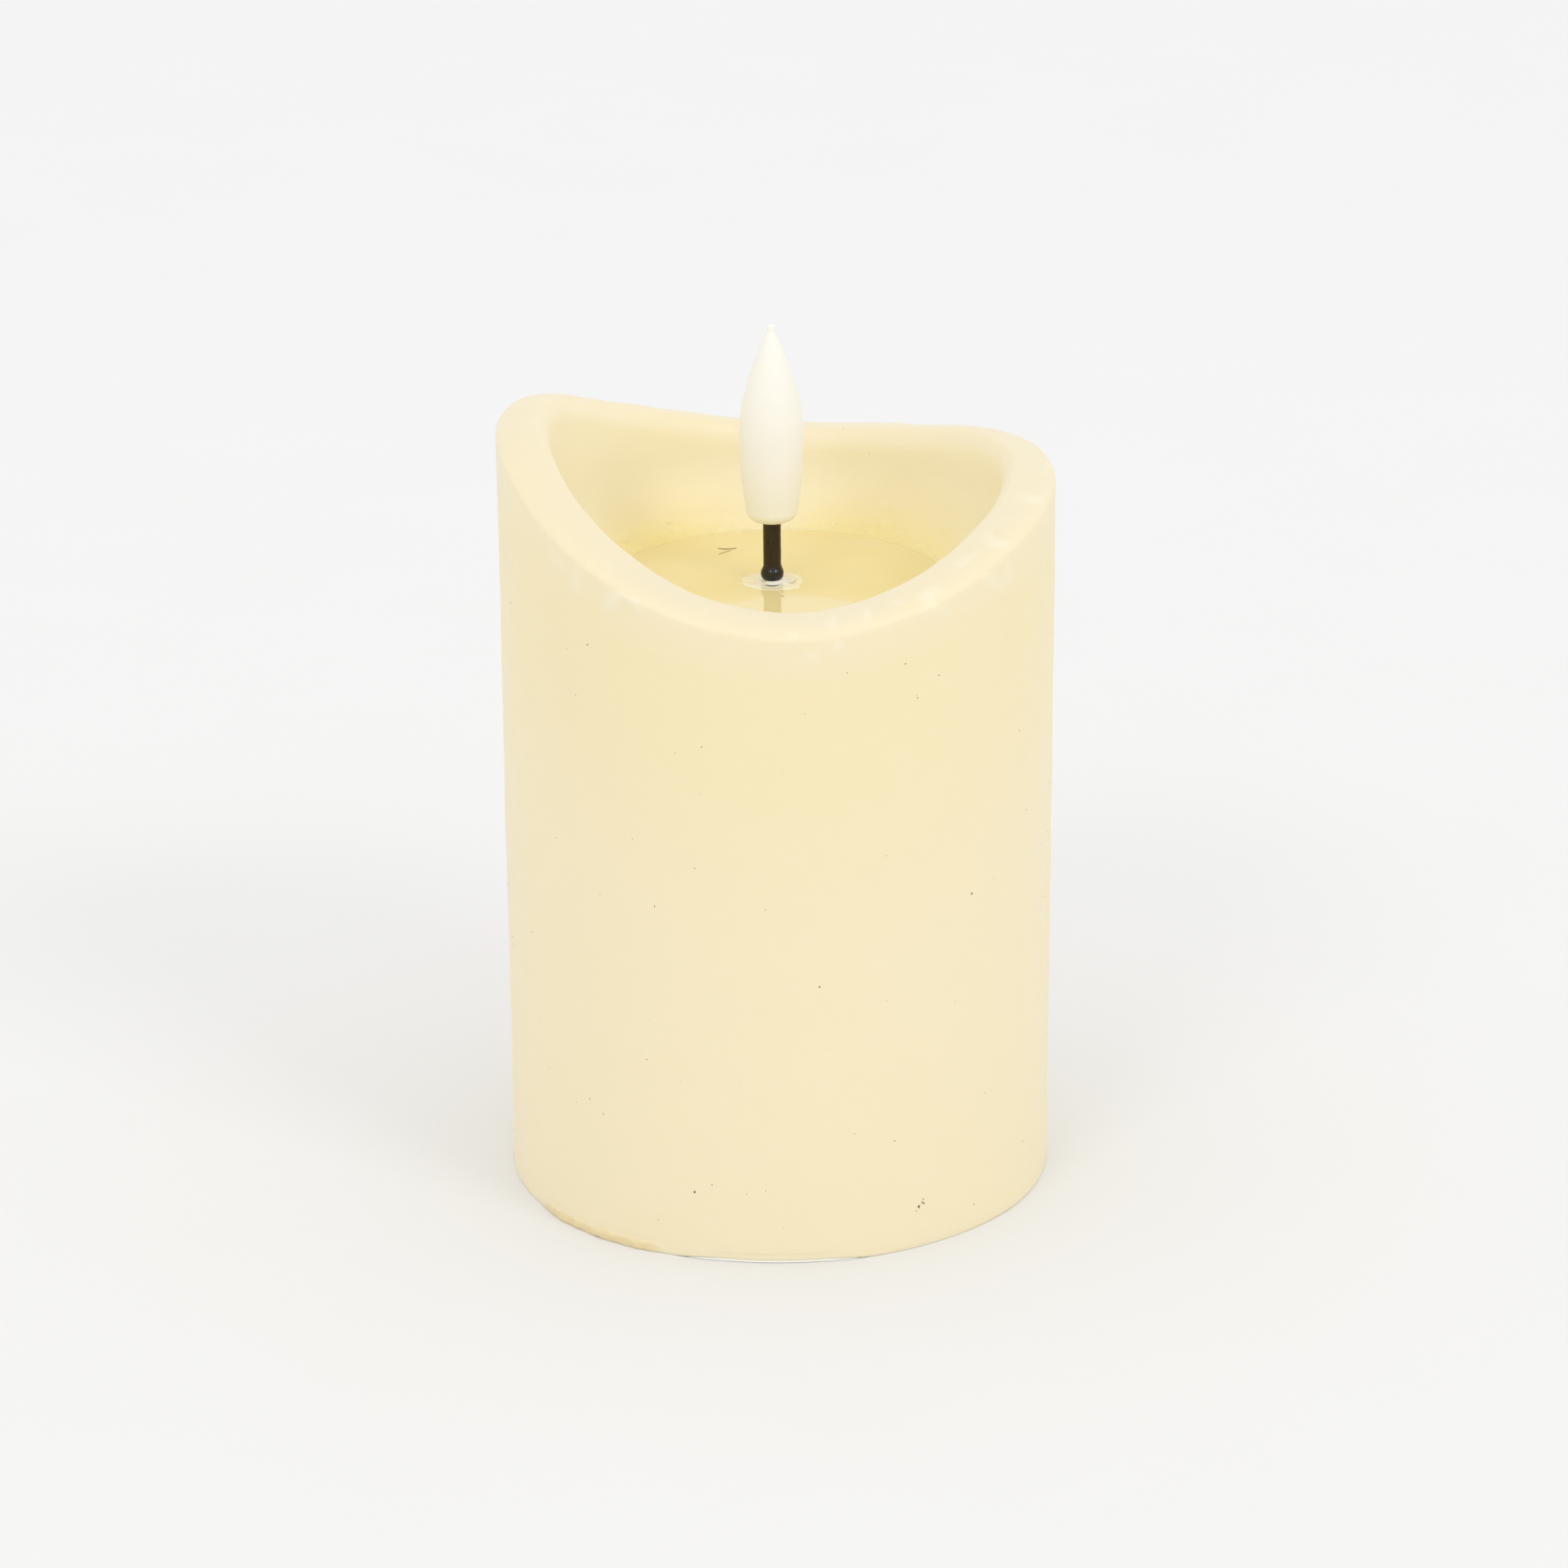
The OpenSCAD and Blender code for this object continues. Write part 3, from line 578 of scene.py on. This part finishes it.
def wax_rings():
    """Rings of the wax, from its foot over the rim, down the wick's hole and back along the cavity."""
    angle = np.arange(AROUND) * TURN / AROUND
    crest = rim_z(angle)
    ring = circle(angle)
    # Slow unevenness of the hand-finished crest
    crest = crest + 0.22 * MM * rough(ring, 0.45, 3) + 0.07 * MM * rough(ring, 0.12, 4)
    rise = np.minimum(BOWL_RISE, crest - LIP_ROUND - POOL_Z - 0.2 * MM)
    rows = []           # each: radius, height, and how far the row is on the wall, shoulder, bowl

    def row(radius, height, wall=0.0, edge=0.0, bowl=0.0):
        """Adds a ring; its radius or height may change round the candle."""
        rows.append((radius + 0 * angle, height + 0 * angle, wall, edge, bowl))

    for radius in np.linspace(CAVITY_R, WAX_R - FOOT_ROUND, 6):
        row(radius, 0.01 * MM)
    for radius, height in arc(WAX_R - FOOT_ROUND, FOOT_ROUND, FOOT_ROUND, FOOT_ROUND, -75, 0, 6):
        row(radius, height, 0.3)
    wall_top = crest - SHOULDER
    # Close rows near the foot, for the mould's ledge
    for t in np.concatenate([np.linspace(0.0015, 0.016, 9), np.linspace(0.018, 1, 110)[:-1]]):
        row(WAX_R, FOOT_ROUND + (wall_top - FOOT_ROUND) * t, 1.0, smooth_step(0.93, 1, t))
    for t in np.radians(np.linspace(0, 90, 26)):
        row(CREST_R + (WAX_R - CREST_R) * np.cos(t), wall_top + SHOULDER * np.sin(t),
            1 - t / 1.6, 1.0)
    for t in np.radians(np.linspace(0, 90, 20))[1:]:
        row(CREST_R - (CREST_R - LIP_R) * np.sin(t), crest - LIP_ROUND * (1 - np.cos(t)), 0.0,
            1 - 0.9 * t / QUARTER, 0.25 * t / QUARTER)
    for t in np.radians(np.linspace(90, 0, 34)):
        row(POOL_R + (LIP_R - POOL_R) * np.sin(t), POOL_Z + rise * (1 - np.cos(t)), 0.0, 0.0,
            1 - 0.75 * t / QUARTER)
    # Under the pool, down the wick's hole, and along the cavity's roof and wall
    for radius, height in [(POOL_R, FLOOR_Z), (HOLE_R * 3, FLOOR_Z), (HOLE_R, FLOOR_Z),
                           (HOLE_R, CAVITY_Z), (HOLE_R * 3, CAVITY_Z), (CAVITY_R, CAVITY_Z),
                           (CAVITY_R, CAVITY_Z / 2)]:
        row(radius, height)
    radius = np.array([r[0] for r in rows])
    height = np.array([r[1] for r in rows])
    weights = np.array([r[2:] for r in rows])
    points = np.stack([radius * np.cos(angle), radius * np.sin(angle), height], 2)
    # The wick's hole is off the middle
    near = radius < HOLE_R * 1.01
    points[..., 0] += np.where(near, WICK_X, 0)
    return points, angle, weights, crest


def make_wax():
    """The pillar. Depths of relief are in millimetres, and sizes of features in metres."""
    points, angle, weights, crest = wax_rings()
    wall, edge, bowl = (weights[:, k][:, None] for k in range(3))
    radial = circle(angle)[None]
    degrees = np.degrees(angle)[None]
    z = points[..., 2]
    # Uneven wall and rounded shoulder, with flakes smeared along the outside of the rim
    swell = 0.13 * rough(points * [1, 1, 0.8], 0.022, 1) + 0.05 * rough(points, 0.007, 2)
    smear = smooth_step(0.12, 0.5, rough(points * [1, 1, 1.6], 0.0032, 5))
    smear = smear * smooth_step(0.0, 0.6, rough(points, 0.011, 6) + 0.2)
    band = edge * smooth_step(0.0, 0.5, wall)
    out = wall * swell + 0.16 * band * smear
    # Small drips and bubbles where the bowl's wall meets the pool
    toe = smooth_step(6 * MM, 0.6 * MM, z - POOL_Z) * smooth_step(0.3, 0.6, bowl)
    toe = toe * smooth_step(0.0, 0.3 * MM, z - POOL_Z)
    drips = smooth_step(0.1, 0.7, rough(points, 0.0016, 8))
    drips = drips * smooth_step(-0.1, 0.4, rough(points, 0.006, 9))
    out = out - toe * (0.28 * drips + 0.12 * rough(points, 0.004, 10))
    clear = smooth_step(0.2, 3, (z - POOL_Z) / MM)
    out = out + 0.14 * smooth_step(0.1, 0.5, bowl) * rough(points, 0.012, 11) * clear
    points = points + radial * out[..., None] * MM
    # The foot's front edge stands a little off the table
    worn_top = 1.2 * MM
    worn = smooth_step(31 * MM, 34.4 * MM, np.hypot(points[..., 0], points[..., 1])) * (z < worn_top)
    lift = FRONT_LIFT * smooth_step(0.93, 0.985, -np.sin(angle + 0.03))[None]
    points[..., 2] += worn * lift * (1 - 0.6 * np.clip(z / worn_top, 0, 1)) * MM
    # Thin ledge of flash left by the mould along the foot
    ledge = smooth_step(LEDGE[0], LEDGE[1], degrees) * smooth_step(LEDGE[3], LEDGE[2], degrees)
    ledge = ledge * (z < 1.4 * MM) * (wall > 0.2)
    ledge = ledge * smooth_step(1.3 * MM, 1.0 * MM, z + 0.12 * MM * rough(points, 0.0015, 14))
    points = points + radial * (ledge * (0.42 + 0.16 * rough(points, 0.0012, 13)))[..., None] * MM
    # These rings already run up the outside: turning them round makes this piece's faces look inwards
    piece = lathe("wax_pillar", points[::-1], sharp=50)
    # Painted bounce light: the bowl is more yellow in two lobes at the back, and the paler band between them
    # is a painted highlight
    bounce_lobes = np.exp(-((degrees - 130) / 22) ** 2) + np.exp(-((degrees - 55) / 20) ** 2)
    middle = np.exp(-((degrees - 92) / 16) ** 2)
    painted_light_share = np.clip(0.78 + 0.22 * bounce_lobes - 0.38 * middle, 0, 1)
    store(piece, "bowl", (smooth_step(0.15, 1.0, bowl + 0 * z) ** 1.2 * painted_light_share)[::-1])
    # Share of the painted shade on the rim's upward-facing top
    upward = smooth_step(0.25, 0.0, bowl) * smooth_step(1.0, 0.35, wall)
    store(piece, "pale", (0.9 * edge * upward + 0 * z)[::-1])
    store(piece, "inside", (smooth_step(0.02, 0.22, bowl) + 0 * z)[::-1])
    outside = smooth_step(0.1, 0.9, edge) * smooth_step(0.0, 0.5, wall)
    store(piece, "smear", (0.55 * outside * smear)[::-1])
    # Share of the painted shade along the foot's ledge
    store(piece, "ledge", (0.8 * smooth_step(0.1, 0.6, ledge))[::-1])
    depth = (crest - z) / MM
    warm = wall * smooth_step(2, 9, depth) * smooth_step(48, 14, depth)
    store(piece, "warm", (0.55 * warm)[::-1])
    return place(piece, CANDLE, "wax_shell", slot="wax", material=FINISHES["wax"])


def make_pool():
    """The poured layer: flat, with faint waves and a thin raised edge."""
    flat_r = POOL_R - 1.2 * MM
    into_wax = 0.12 * MM
    under = FLOOR_Z + 0.02 * MM
    radii = np.concatenate([np.linspace(HOLE_R, flat_r, 60),
                            np.linspace(flat_r, POOL_R + into_wax, 14)[1:]])
    lift = 0.03 * MM * smooth_step(POOL_R - 0.9 * MM, POOL_R, radii)
    top = np.stack([radii, POOL_Z + lift], 1)
    section = np.concatenate([[[HOLE_R, under]], top, [[POOL_R - 0.05 * MM, under]]])
    rings = turned(section, 256)
    near = section[:, :1] < HOLE_R * 1.01
    rings[..., 0] += np.where(near, WICK_X, 0)
    wave = 0.007 * rough(rings, 0.014, 21)
    rings[1:-1, :, 2] += wave[1:-1] * MM
    piece = lathe("pool_layer", rings[::-1], sharp=60)
    return place(piece, CANDLE, "melt_pool", slot="pool_wax", material=FINISHES["pool_wax"])


# ---------------------------------------------------------------- wick and flame

def make_wick():
    """The black sleeve, a tube with a slightly uneven outside."""
    bore = WICK_R - SLEEVE_WALL
    heights = np.linspace(tube_low.z, tube_high.z, 90)
    outer = np.stack([np.full(len(heights), WICK_R), heights], 1)
    section = np.concatenate([[[bore, tube_low.z]], outer, [[bore, tube_high.z]]])
    rings = turned(section, 48, WICK_X)
    spine = np.array([WICK_X, 0])
    swell = 1 + 0.02 * rough(rings * [1, 1, 0.4], 0.0012, 31)
    rings[1:-1, :, :2] = spine + (rings[1:-1, :, :2] - spine) * swell[1:-1, :, None]
    piece = lathe("wick_sleeve", rings, sharp=60)
    return place(piece, CANDLE, "wick_tube", slot="wick_black", material=FINISHES["wick_black"])


def rounded_line(points, passes=3):
    """An open line with its corners cut again and again."""
    points = np.asarray(points, float)
    for _ in range(passes):
        a, b = points[:-1], points[1:]
        cut = np.stack([0.75 * a + 0.25 * b, 0.25 * a + 0.75 * b], 1).reshape(-1, 2)
        points = np.concatenate([points[:1], cut, points[-1:]])
    return points


def make_bead():
    """The drop of black glue at the wick's foot: it flares from the sleeve and is undercut below."""
    height = bead_high.z - bead_low.z
    proud = (bead_high.x - bead_low.x) / 2 - WICK_R
    # Each place: how proud of the sleeve, and how far up the bead
    shape = [(-0.5, 0.02), (-0.4, 0.1), (0.2, 0.12), (0.95, 0.26), (1.35, 0.5), (1.15, 0.74),
             (0.5, 0.93), (0.1, 1.08), (-0.02, 1.25), (-0.3, 1.26)]
    section = rounded_line([(WICK_R + p * proud, bead_low.z + h * height) for p, h in shape])
    rings = turned(section, 72, WICK_X)
    spine = np.array([WICK_X, 0])
    lump = 1 + 0.018 * rough(rings, 0.0011, 35)
    rings[..., :2] = spine + (rings[..., :2] - spine) * lump[..., None]
    piece = lathe("bead_black", rings, sharp=70)
    return place(piece, CANDLE, "wick_bead", slot="wick_gloss", material=FINISHES["wick_gloss"])


def make_seal():
    """Set adhesive round the wick: a collar against it and a thin film with a ragged edge."""
    around = 180
    angle = np.arange(around) * TURN / around
    ring = circle(angle)
    ragged = 0.93 + 0.06 * rough(ring, 0.7, 41) + 0.045 * rough(ring, 0.16, 42)
    reach = (seal_high.x - seal_low.x) / 2 * ragged
    share = np.concatenate([np.linspace(0, 0.25, 16), np.linspace(0.25, 1, 24)[1:], [1.0, 0.0]])
    radius = WICK_R + (reach - WICK_R) * share[:, None]
    rise = 0.3 * np.exp(-(share / 0.07) ** 2) + 0.06 * (1 - share) + 0.02 * (1 - share ** 8) + 0.014
    top = len(share) - 2        # the last two rings are the underside
    rise[top:] = 0.004
    points = np.stack([WICK_X + radius * np.cos(angle), radius * np.sin(angle),
                       POOL_Z + 0 * radius + rise[:, None] * MM], 2)
    within = top - 1            # the rings inside the film's edge, which has no ripple
    ripple = 0.02 * rough(points[:within], 0.0016, 43) + 0.012 * rough(points[:within], 0.0006, 44)
    points[:within, :, 2] += MM * ripple * np.minimum(1, share[:within, None] * 4)
    piece = lathe("seal_film", points[::-1], sharp=70)
    inner = smooth_step(0.36, 0.3, share[:, None] + 0.05 * rough(ring, 0.5, 45)[None])
    store(piece, "milky", (inner * np.ones((1, around)))[::-1])
    return place(piece, CANDLE, "wick_seal", slot="clear_glue", material=FINISHES["clear_glue"])


def flame_section():
    """Outline of the flame's outside, from its foot to its tip, as [radius, height above the foot]."""
    height = flame_high.z - flame_low.z
    widest = (flame_high.x - flame_low.x) / 2
    belly = 11.1 / 25.5 * height        # height of the widest place
    foot = 0.745 * widest
    corner = 1.6 * MM
    tip = 0.58 * MM
    side_top = height - 0.86 * MM

    def radius_at(h):
        """Radius at a height, below and above the widest place."""
        low = widest - (widest - foot) * (1 - np.minimum(h, belly) / belly) ** 2
        high = widest * (1 - np.clip((h - belly) / (height - belly), 0, 1) ** 1.8)
        return np.where(h < belly, low, high)

    t = np.radians(np.linspace(0, 90, 12))
    start = np.stack([radius_at(corner) - corner * (1 - np.sin(t)), corner * (1 - np.cos(t))], 1)
    side = np.linspace(corner, side_top, 70)[1:]
    middle = np.stack([radius_at(side), side], 1)
    t = np.radians(np.linspace(32, 88, 10))
    end = np.stack([tip * np.cos(t), height - tip + tip * np.sin(t)], 1)
    return np.concatenate([start, middle, end])


def make_flame():
    """The hollow flame, open at its foot for the wick."""
    section = flame_section()
    hole_r = WICK_R + 0.02 * MM
    axis_r = 0.02 * MM                  # the ends on the axis stop just short of it
    hole = np.array([[hole_r, 0.75 * MM], [hole_r, 0.0]])
    # Inner face, one wall inside the outer one, from the tip back to the foot
    wall = 0.7 * MM
    inner = section[::-1].copy()
    inner[:, 0] -= wall
    below_tip = inner[:, 1] < section[-1, 1] - 3 * wall
    inner = inner[(inner[:, 0] > 0.1 * MM) & (inner[:, 1] > wall) & below_tip]
    tip = [[axis_r, section[-1, 1] + 0.004 * MM]]
    apex = [[axis_r, inner[0, 1] + 0.6 * MM]]
    section = np.concatenate([section, tip, apex, inner, hole])
    section[:, 1] += flame_low.z
    rings = turned(section, 96, WICK_X)
    piece = lathe("flame_shell", rings, sharp=80)
    height = rings[..., 2] - flame_low.z
    store(piece, "foot", smooth_step(9 * MM, 0.5 * MM, height))
    return place(piece, CANDLE, "flame_diffuser", slot="flame_plastic", material=FINISHES["flame_plastic"])


# ---------------------------------------------------------------- specks, fibres and drops

def surface_of(piece):
    """A tree of the piece's surface, for finding the nearest place on it."""
    mesh = piece.data
    return BVHTree.FromPolygons([v.co for v in mesh.vertices], [p.vertices for p in mesh.polygons])


def on_wall(tree, degrees, height):
    """Place and normal on the outer wall at an angle in degrees and a height in millimetres."""
    a = math.radians(degrees)
    out = Vector((math.cos(a), math.sin(a), 0))
    start_r = 0.05          # well outside the pillar
    at, normal, _, _ = tree.ray_cast(out * start_r + Vector((0, 0, height * MM)), -out)
    return at, normal


def make_specks(tree):
    """Tiny dark specks and short fibres that cling to the wax."""
    shapes = []
    for _ in range(120):
        at, normal = on_wall(tree, random.uniform(0, 360), random.uniform(3, 80))
        size = random.uniform(0.05, 0.13) * MM
        length = size * random.uniform(1, 2)
        shapes.append(flake(at, normal, length, size, 0.05 * MM, random.uniform(0, 6), sides=6))
    # A cluster of crumbs low on the front, and a few larger ones
    crumbs = [(299.8, 5.6, 0.3), (300.6, 6.1, 0.17), (301.0, 5.9, 0.2), (300.9, 6.5, 0.14),
              (299.2, 5.1, 0.12), (252.2, 9.2, 0.24), (313.1, 46, 0.22), (278.2, 37.3, 0.17),
              (228.8, 79.1, 0.16), (296.4, 78.1, 0.14), (284, 77.9, 0.1), (105, 31, 0.2),
              (150, 62, 0.18), (40, 22, 0.2)]
    for degrees, height, size in crumbs:
        at, normal = on_wall(tree, degrees, height)
        shapes.append(flake(at, normal, size * 1.4 * MM, size * MM, 0.06 * MM, height, sides=7))
    place(joined("dust_specks", shapes), CANDLE, slot="wick_black", material=DUST)
    shapes = []
    pillar_r = 35           # millimetres
    fibres = [(237.2, 46.5, 0.9), (252.4, 9.5, 0.5), (262, 24, 0.6), (310, 70, 0.6), (190, 30, 1.4),
              (120, 55, 1.1), (60, 40, 1.5), (95, 12, 0.9), (15, 66, 0.8)]
    for degrees, height, length in fibres:
        spin = random.uniform(-1, 1)
        path = []
        for k in (-1, -0.3, 0.4, 1):
            step = length / 2 * k
            at, normal = on_wall(tree, degrees + math.degrees(step * math.cos(spin) / pillar_r),
                                 height + step * math.sin(spin) + 0.12 * length * k * k)
            path.append(at + normal * (0.02 + 0.03 * abs(k)) * MM)
        shapes.append(strand(path, 0.035 * MM))
    place(joined("dust_fibres", shapes), CANDLE, slot="wick_black", material=DUST)


def make_bowl_drops(tree):
    """Pinhead drops and bubbles where the bowl's wall runs into the pool."""
    shapes = []
    for _ in range(260):
        degrees = random.choice([random.normal(112, 17), random.normal(66, 16), random.uniform(0, 360)])
        a = math.radians(degrees)
        t = abs(random.normal(0, 0.2)) + 0.06
        radius = POOL_R + (LIP_R - POOL_R) * math.sin(t)
        height = POOL_Z + BOWL_RISE * (1 - math.cos(t))
        near = Vector((radius * math.cos(a), radius * math.sin(a), height))
        at, normal, _, _ = tree.find_nearest(near)
        size = random.uniform(0.07, 0.19) * MM
        shapes.append(dome(at, normal, size, size * random.uniform(0.3, 0.6)))
    place(joined("bowl_drops", shapes), CANDLE, slot="wax", material=DROP)


def make_pool_litter():
    """A curved fibre with a paler one beside it, lying on the pool behind the wick."""
    lie = POOL_Z + 0.05 * MM

    def path(*places):
        """Points on the pool from x, y and height above it, in millimetres."""
        return [(x * MM, y * MM, lie + h * MM) for x, y, h in places]

    curve = path((-7.6, 13.8, 0.02), (-6.9, 13.5, 0), (-6.1, 13.4, 0), (-5.2, 13.8, 0.03))
    dark = strand(curve, 0.045 * MM)
    place(joined("pool_fibre_dark", [dark]), CANDLE, slot="wick_black", material=FIBRE_BROWN)
    pale = strand(path((-7.5, 11.1, 0), (-6.9, 12, 0), (-5.9, 12.7, 0.02)), 0.035 * MM)
    place(joined("pool_fibre_pale", [pale]), CANDLE, slot="wax", material=FIBRE_PALE)


def make_glue_litter():
    """Curled chips of clear adhesive by the wick, and a black strand along the glue's lower edge as a painted
    shadow line.
    """
    def at(x, y, z):
        """A place from millimetres, z above the pool."""
        return Vector((x * MM, y * MM, POOL_Z + z * MM))

    # Each: place, normal, length, width, thickness, spin, sides
    layout = [(at(1.9, 0.1, 0.2), (-0.15, -0.12, 1), 2.6 * MM, 0.9 * MM, 0.04 * MM, 0.5, 14),
              (at(0.6, -5.7, 0.08), (-0.1, -0.1, 1), 1.5 * MM, 0.28 * MM, 0.05 * MM, 1.3, 12),
              (at(-1.7, -0.9, 0.3), (0.2, -0.1, 1), 0.9 * MM, 0.35 * MM, 0.05 * MM, 2.2, 12)]
    chips = [flake(*shape, bend=0.1 * MM, sides=sides) for *shape, sides in layout]
    place(joined("glue_chips", chips), CANDLE, slot="clear_glue", material=FINISHES["clear_glue"])
    # Painted shadow: a black strand laid along the glue's lower edge
    arc_path = [at(WICK_X / MM + 1.3 * math.sin(t), -0.4 - 1.8 * math.cos(t), 0.1)
                for t in np.linspace(-0.75, 0.72, 7)]
    line = [strand(arc_path, 0.06 * MM, taper=0.3)]
    place(joined("painted_shadow_line", line), CANDLE, slot="wick_black", material=FINISHES["wick_gloss"])


def make_foot_gap_light():
    """A thin pale strip under the lifted front of the foot, tapering to nothing at its ends: painted light,
    standing in for the bright gap under the foot.
    """
    around, rings = 120, []
    angle = np.radians(np.linspace(250.5, 286.5, around))
    fade = np.maximum(np.sin(np.linspace(0, math.pi, around)), 0.001) ** 0.6
    for inset, rise in [(0.9, 0), (0.3, 0.02), (0.16, 0.12), (0.13, 0.4), (0.2, 0.62), (0.9, 0.62)]:
        radius = WAX_R - (0.13 + (inset - 0.13) * fade) * MM
        height = (0.01 + 0.8 * rise * fade) * MM
        rings.append(np.stack([radius * np.cos(angle), radius * np.sin(angle), height], 1))
    rings = np.array(rings)
    count = len(rings)
    index = np.arange(count * around).reshape(count, around)
    faces = [(index[i][k], index[(i + 1) % count][k], index[(i + 1) % count][k + 1], index[i][k + 1])
             for i in range(count) for k in range(around - 1)]
    faces += [tuple(index[:, 0])[::-1], tuple(index[:, -1])]
    faces = [tuple(int(i) for i in face)[::-1] for face in faces]
    piece = add_mesh("foot_gap_light", rings.reshape(-1, 3), faces)
    return place(piece, CANDLE, slot="wax", material=GAP_LIGHT)


# ---------------------------------------------------------------- stage

# A camera raised 20.2 degrees, far off on the -Y side, with a long lens
CAMERA_PLACE = Vector((0.00076, -0.6346, 0.2848))
CAMERA_PITCH = math.radians(20.21)
CAMERA_ROLL = math.radians(-0.35)
CAMERA_LENS = 121.1
STUDIO = 1.02               # brightness of the white studio round the candle
AIM = Vector((0, 0, 0.06))  # place that the softboxes face


def make_camera():
    """The camera, level across but for its small roll."""
    data = bpy.data.cameras.new("camera")
    data.lens = CAMERA_LENS
    data.sensor_width = 36
    data.clip_start = 0.05
    data.clip_end = 20
    camera = bpy.data.objects.new("camera", data)
    bpy.context.scene.collection.objects.link(camera)
    look = Vector((0, math.cos(CAMERA_PITCH), -math.sin(CAMERA_PITCH)))
    across = Vector((1, 0, 0))
    upward = across.cross(look)
    right = math.cos(CAMERA_ROLL) * across + math.sin(CAMERA_ROLL) * upward
    up = right.cross(look)
    turn = Matrix((right, up, -look)).transposed()
    camera.matrix_world = Matrix.Translation(CAMERA_PLACE) @ turn.to_4x4()
    bpy.context.scene.camera = camera


def make_softbox(name, around, above, away, size, power):
    """A softbox aimed at the candle, around degrees to the camera's right and above the floor."""
    data = bpy.data.lights.new(name, "AREA")
    data.shape = "RECTANGLE"
    data.size, data.size_y = size
    data.energy = power
    light = bpy.data.objects.new(name, data)
    bpy.context.scene.collection.objects.link(light)
    a, e = math.radians(around), math.radians(above)
    place_at = Vector((math.sin(a) * math.cos(e), -math.cos(a) * math.cos(e), math.sin(e))) * away
    turn = (AIM - place_at).to_track_quat("-Z", "Y").to_matrix().to_4x4()
    light.matrix_world = Matrix.Translation(place_at) @ turn


def make_stage():
    """A plain paper floor, an even white world and two softboxes."""
    floor = add_mesh("floor", [(-6, -6, 0), (6, -6, 0), (6, 8, 0), (-6, 8, 0)], [(0, 1, 2, 3)])
    f = Finish("floor_paper", (0.8225, 0.8225, 0.8225), 0.9, Specular_IOR_Level=0.1)
    f.tint((0.8125, 0.8125, 0.808), f.noise(40, 3), 0.5)
    f.tint((0.815, 0.815, 0.81), f.noise(3, 2), 0.3)
    floor.data.materials.append(f.material)
    world = bpy.data.worlds.new("studio")
    bpy.context.scene.world = world
    world.use_nodes = True
    back = world.node_tree.nodes["Background"]
    back.inputs["Color"].default_value = (1, 1, 1, 1)
    back.inputs["Strength"].default_value = STUDIO
    make_softbox("softbox_right", 45, 38, 5.0, (1.5, 1.1), 26)
    make_softbox("softbox_left", -28, 40, 5.0, (1.5, 1.1), 18)
    bpy.context.scene.view_settings.view_transform = "Standard"


make_camera()
make_stage()
wax_tree = surface_of(make_wax())
make_pool()
make_wick()
make_bead()
make_seal()
make_flame()
make_specks(wax_tree)
make_bowl_drops(wax_tree)
make_pool_litter()
make_glue_litter()
make_foot_gap_light()
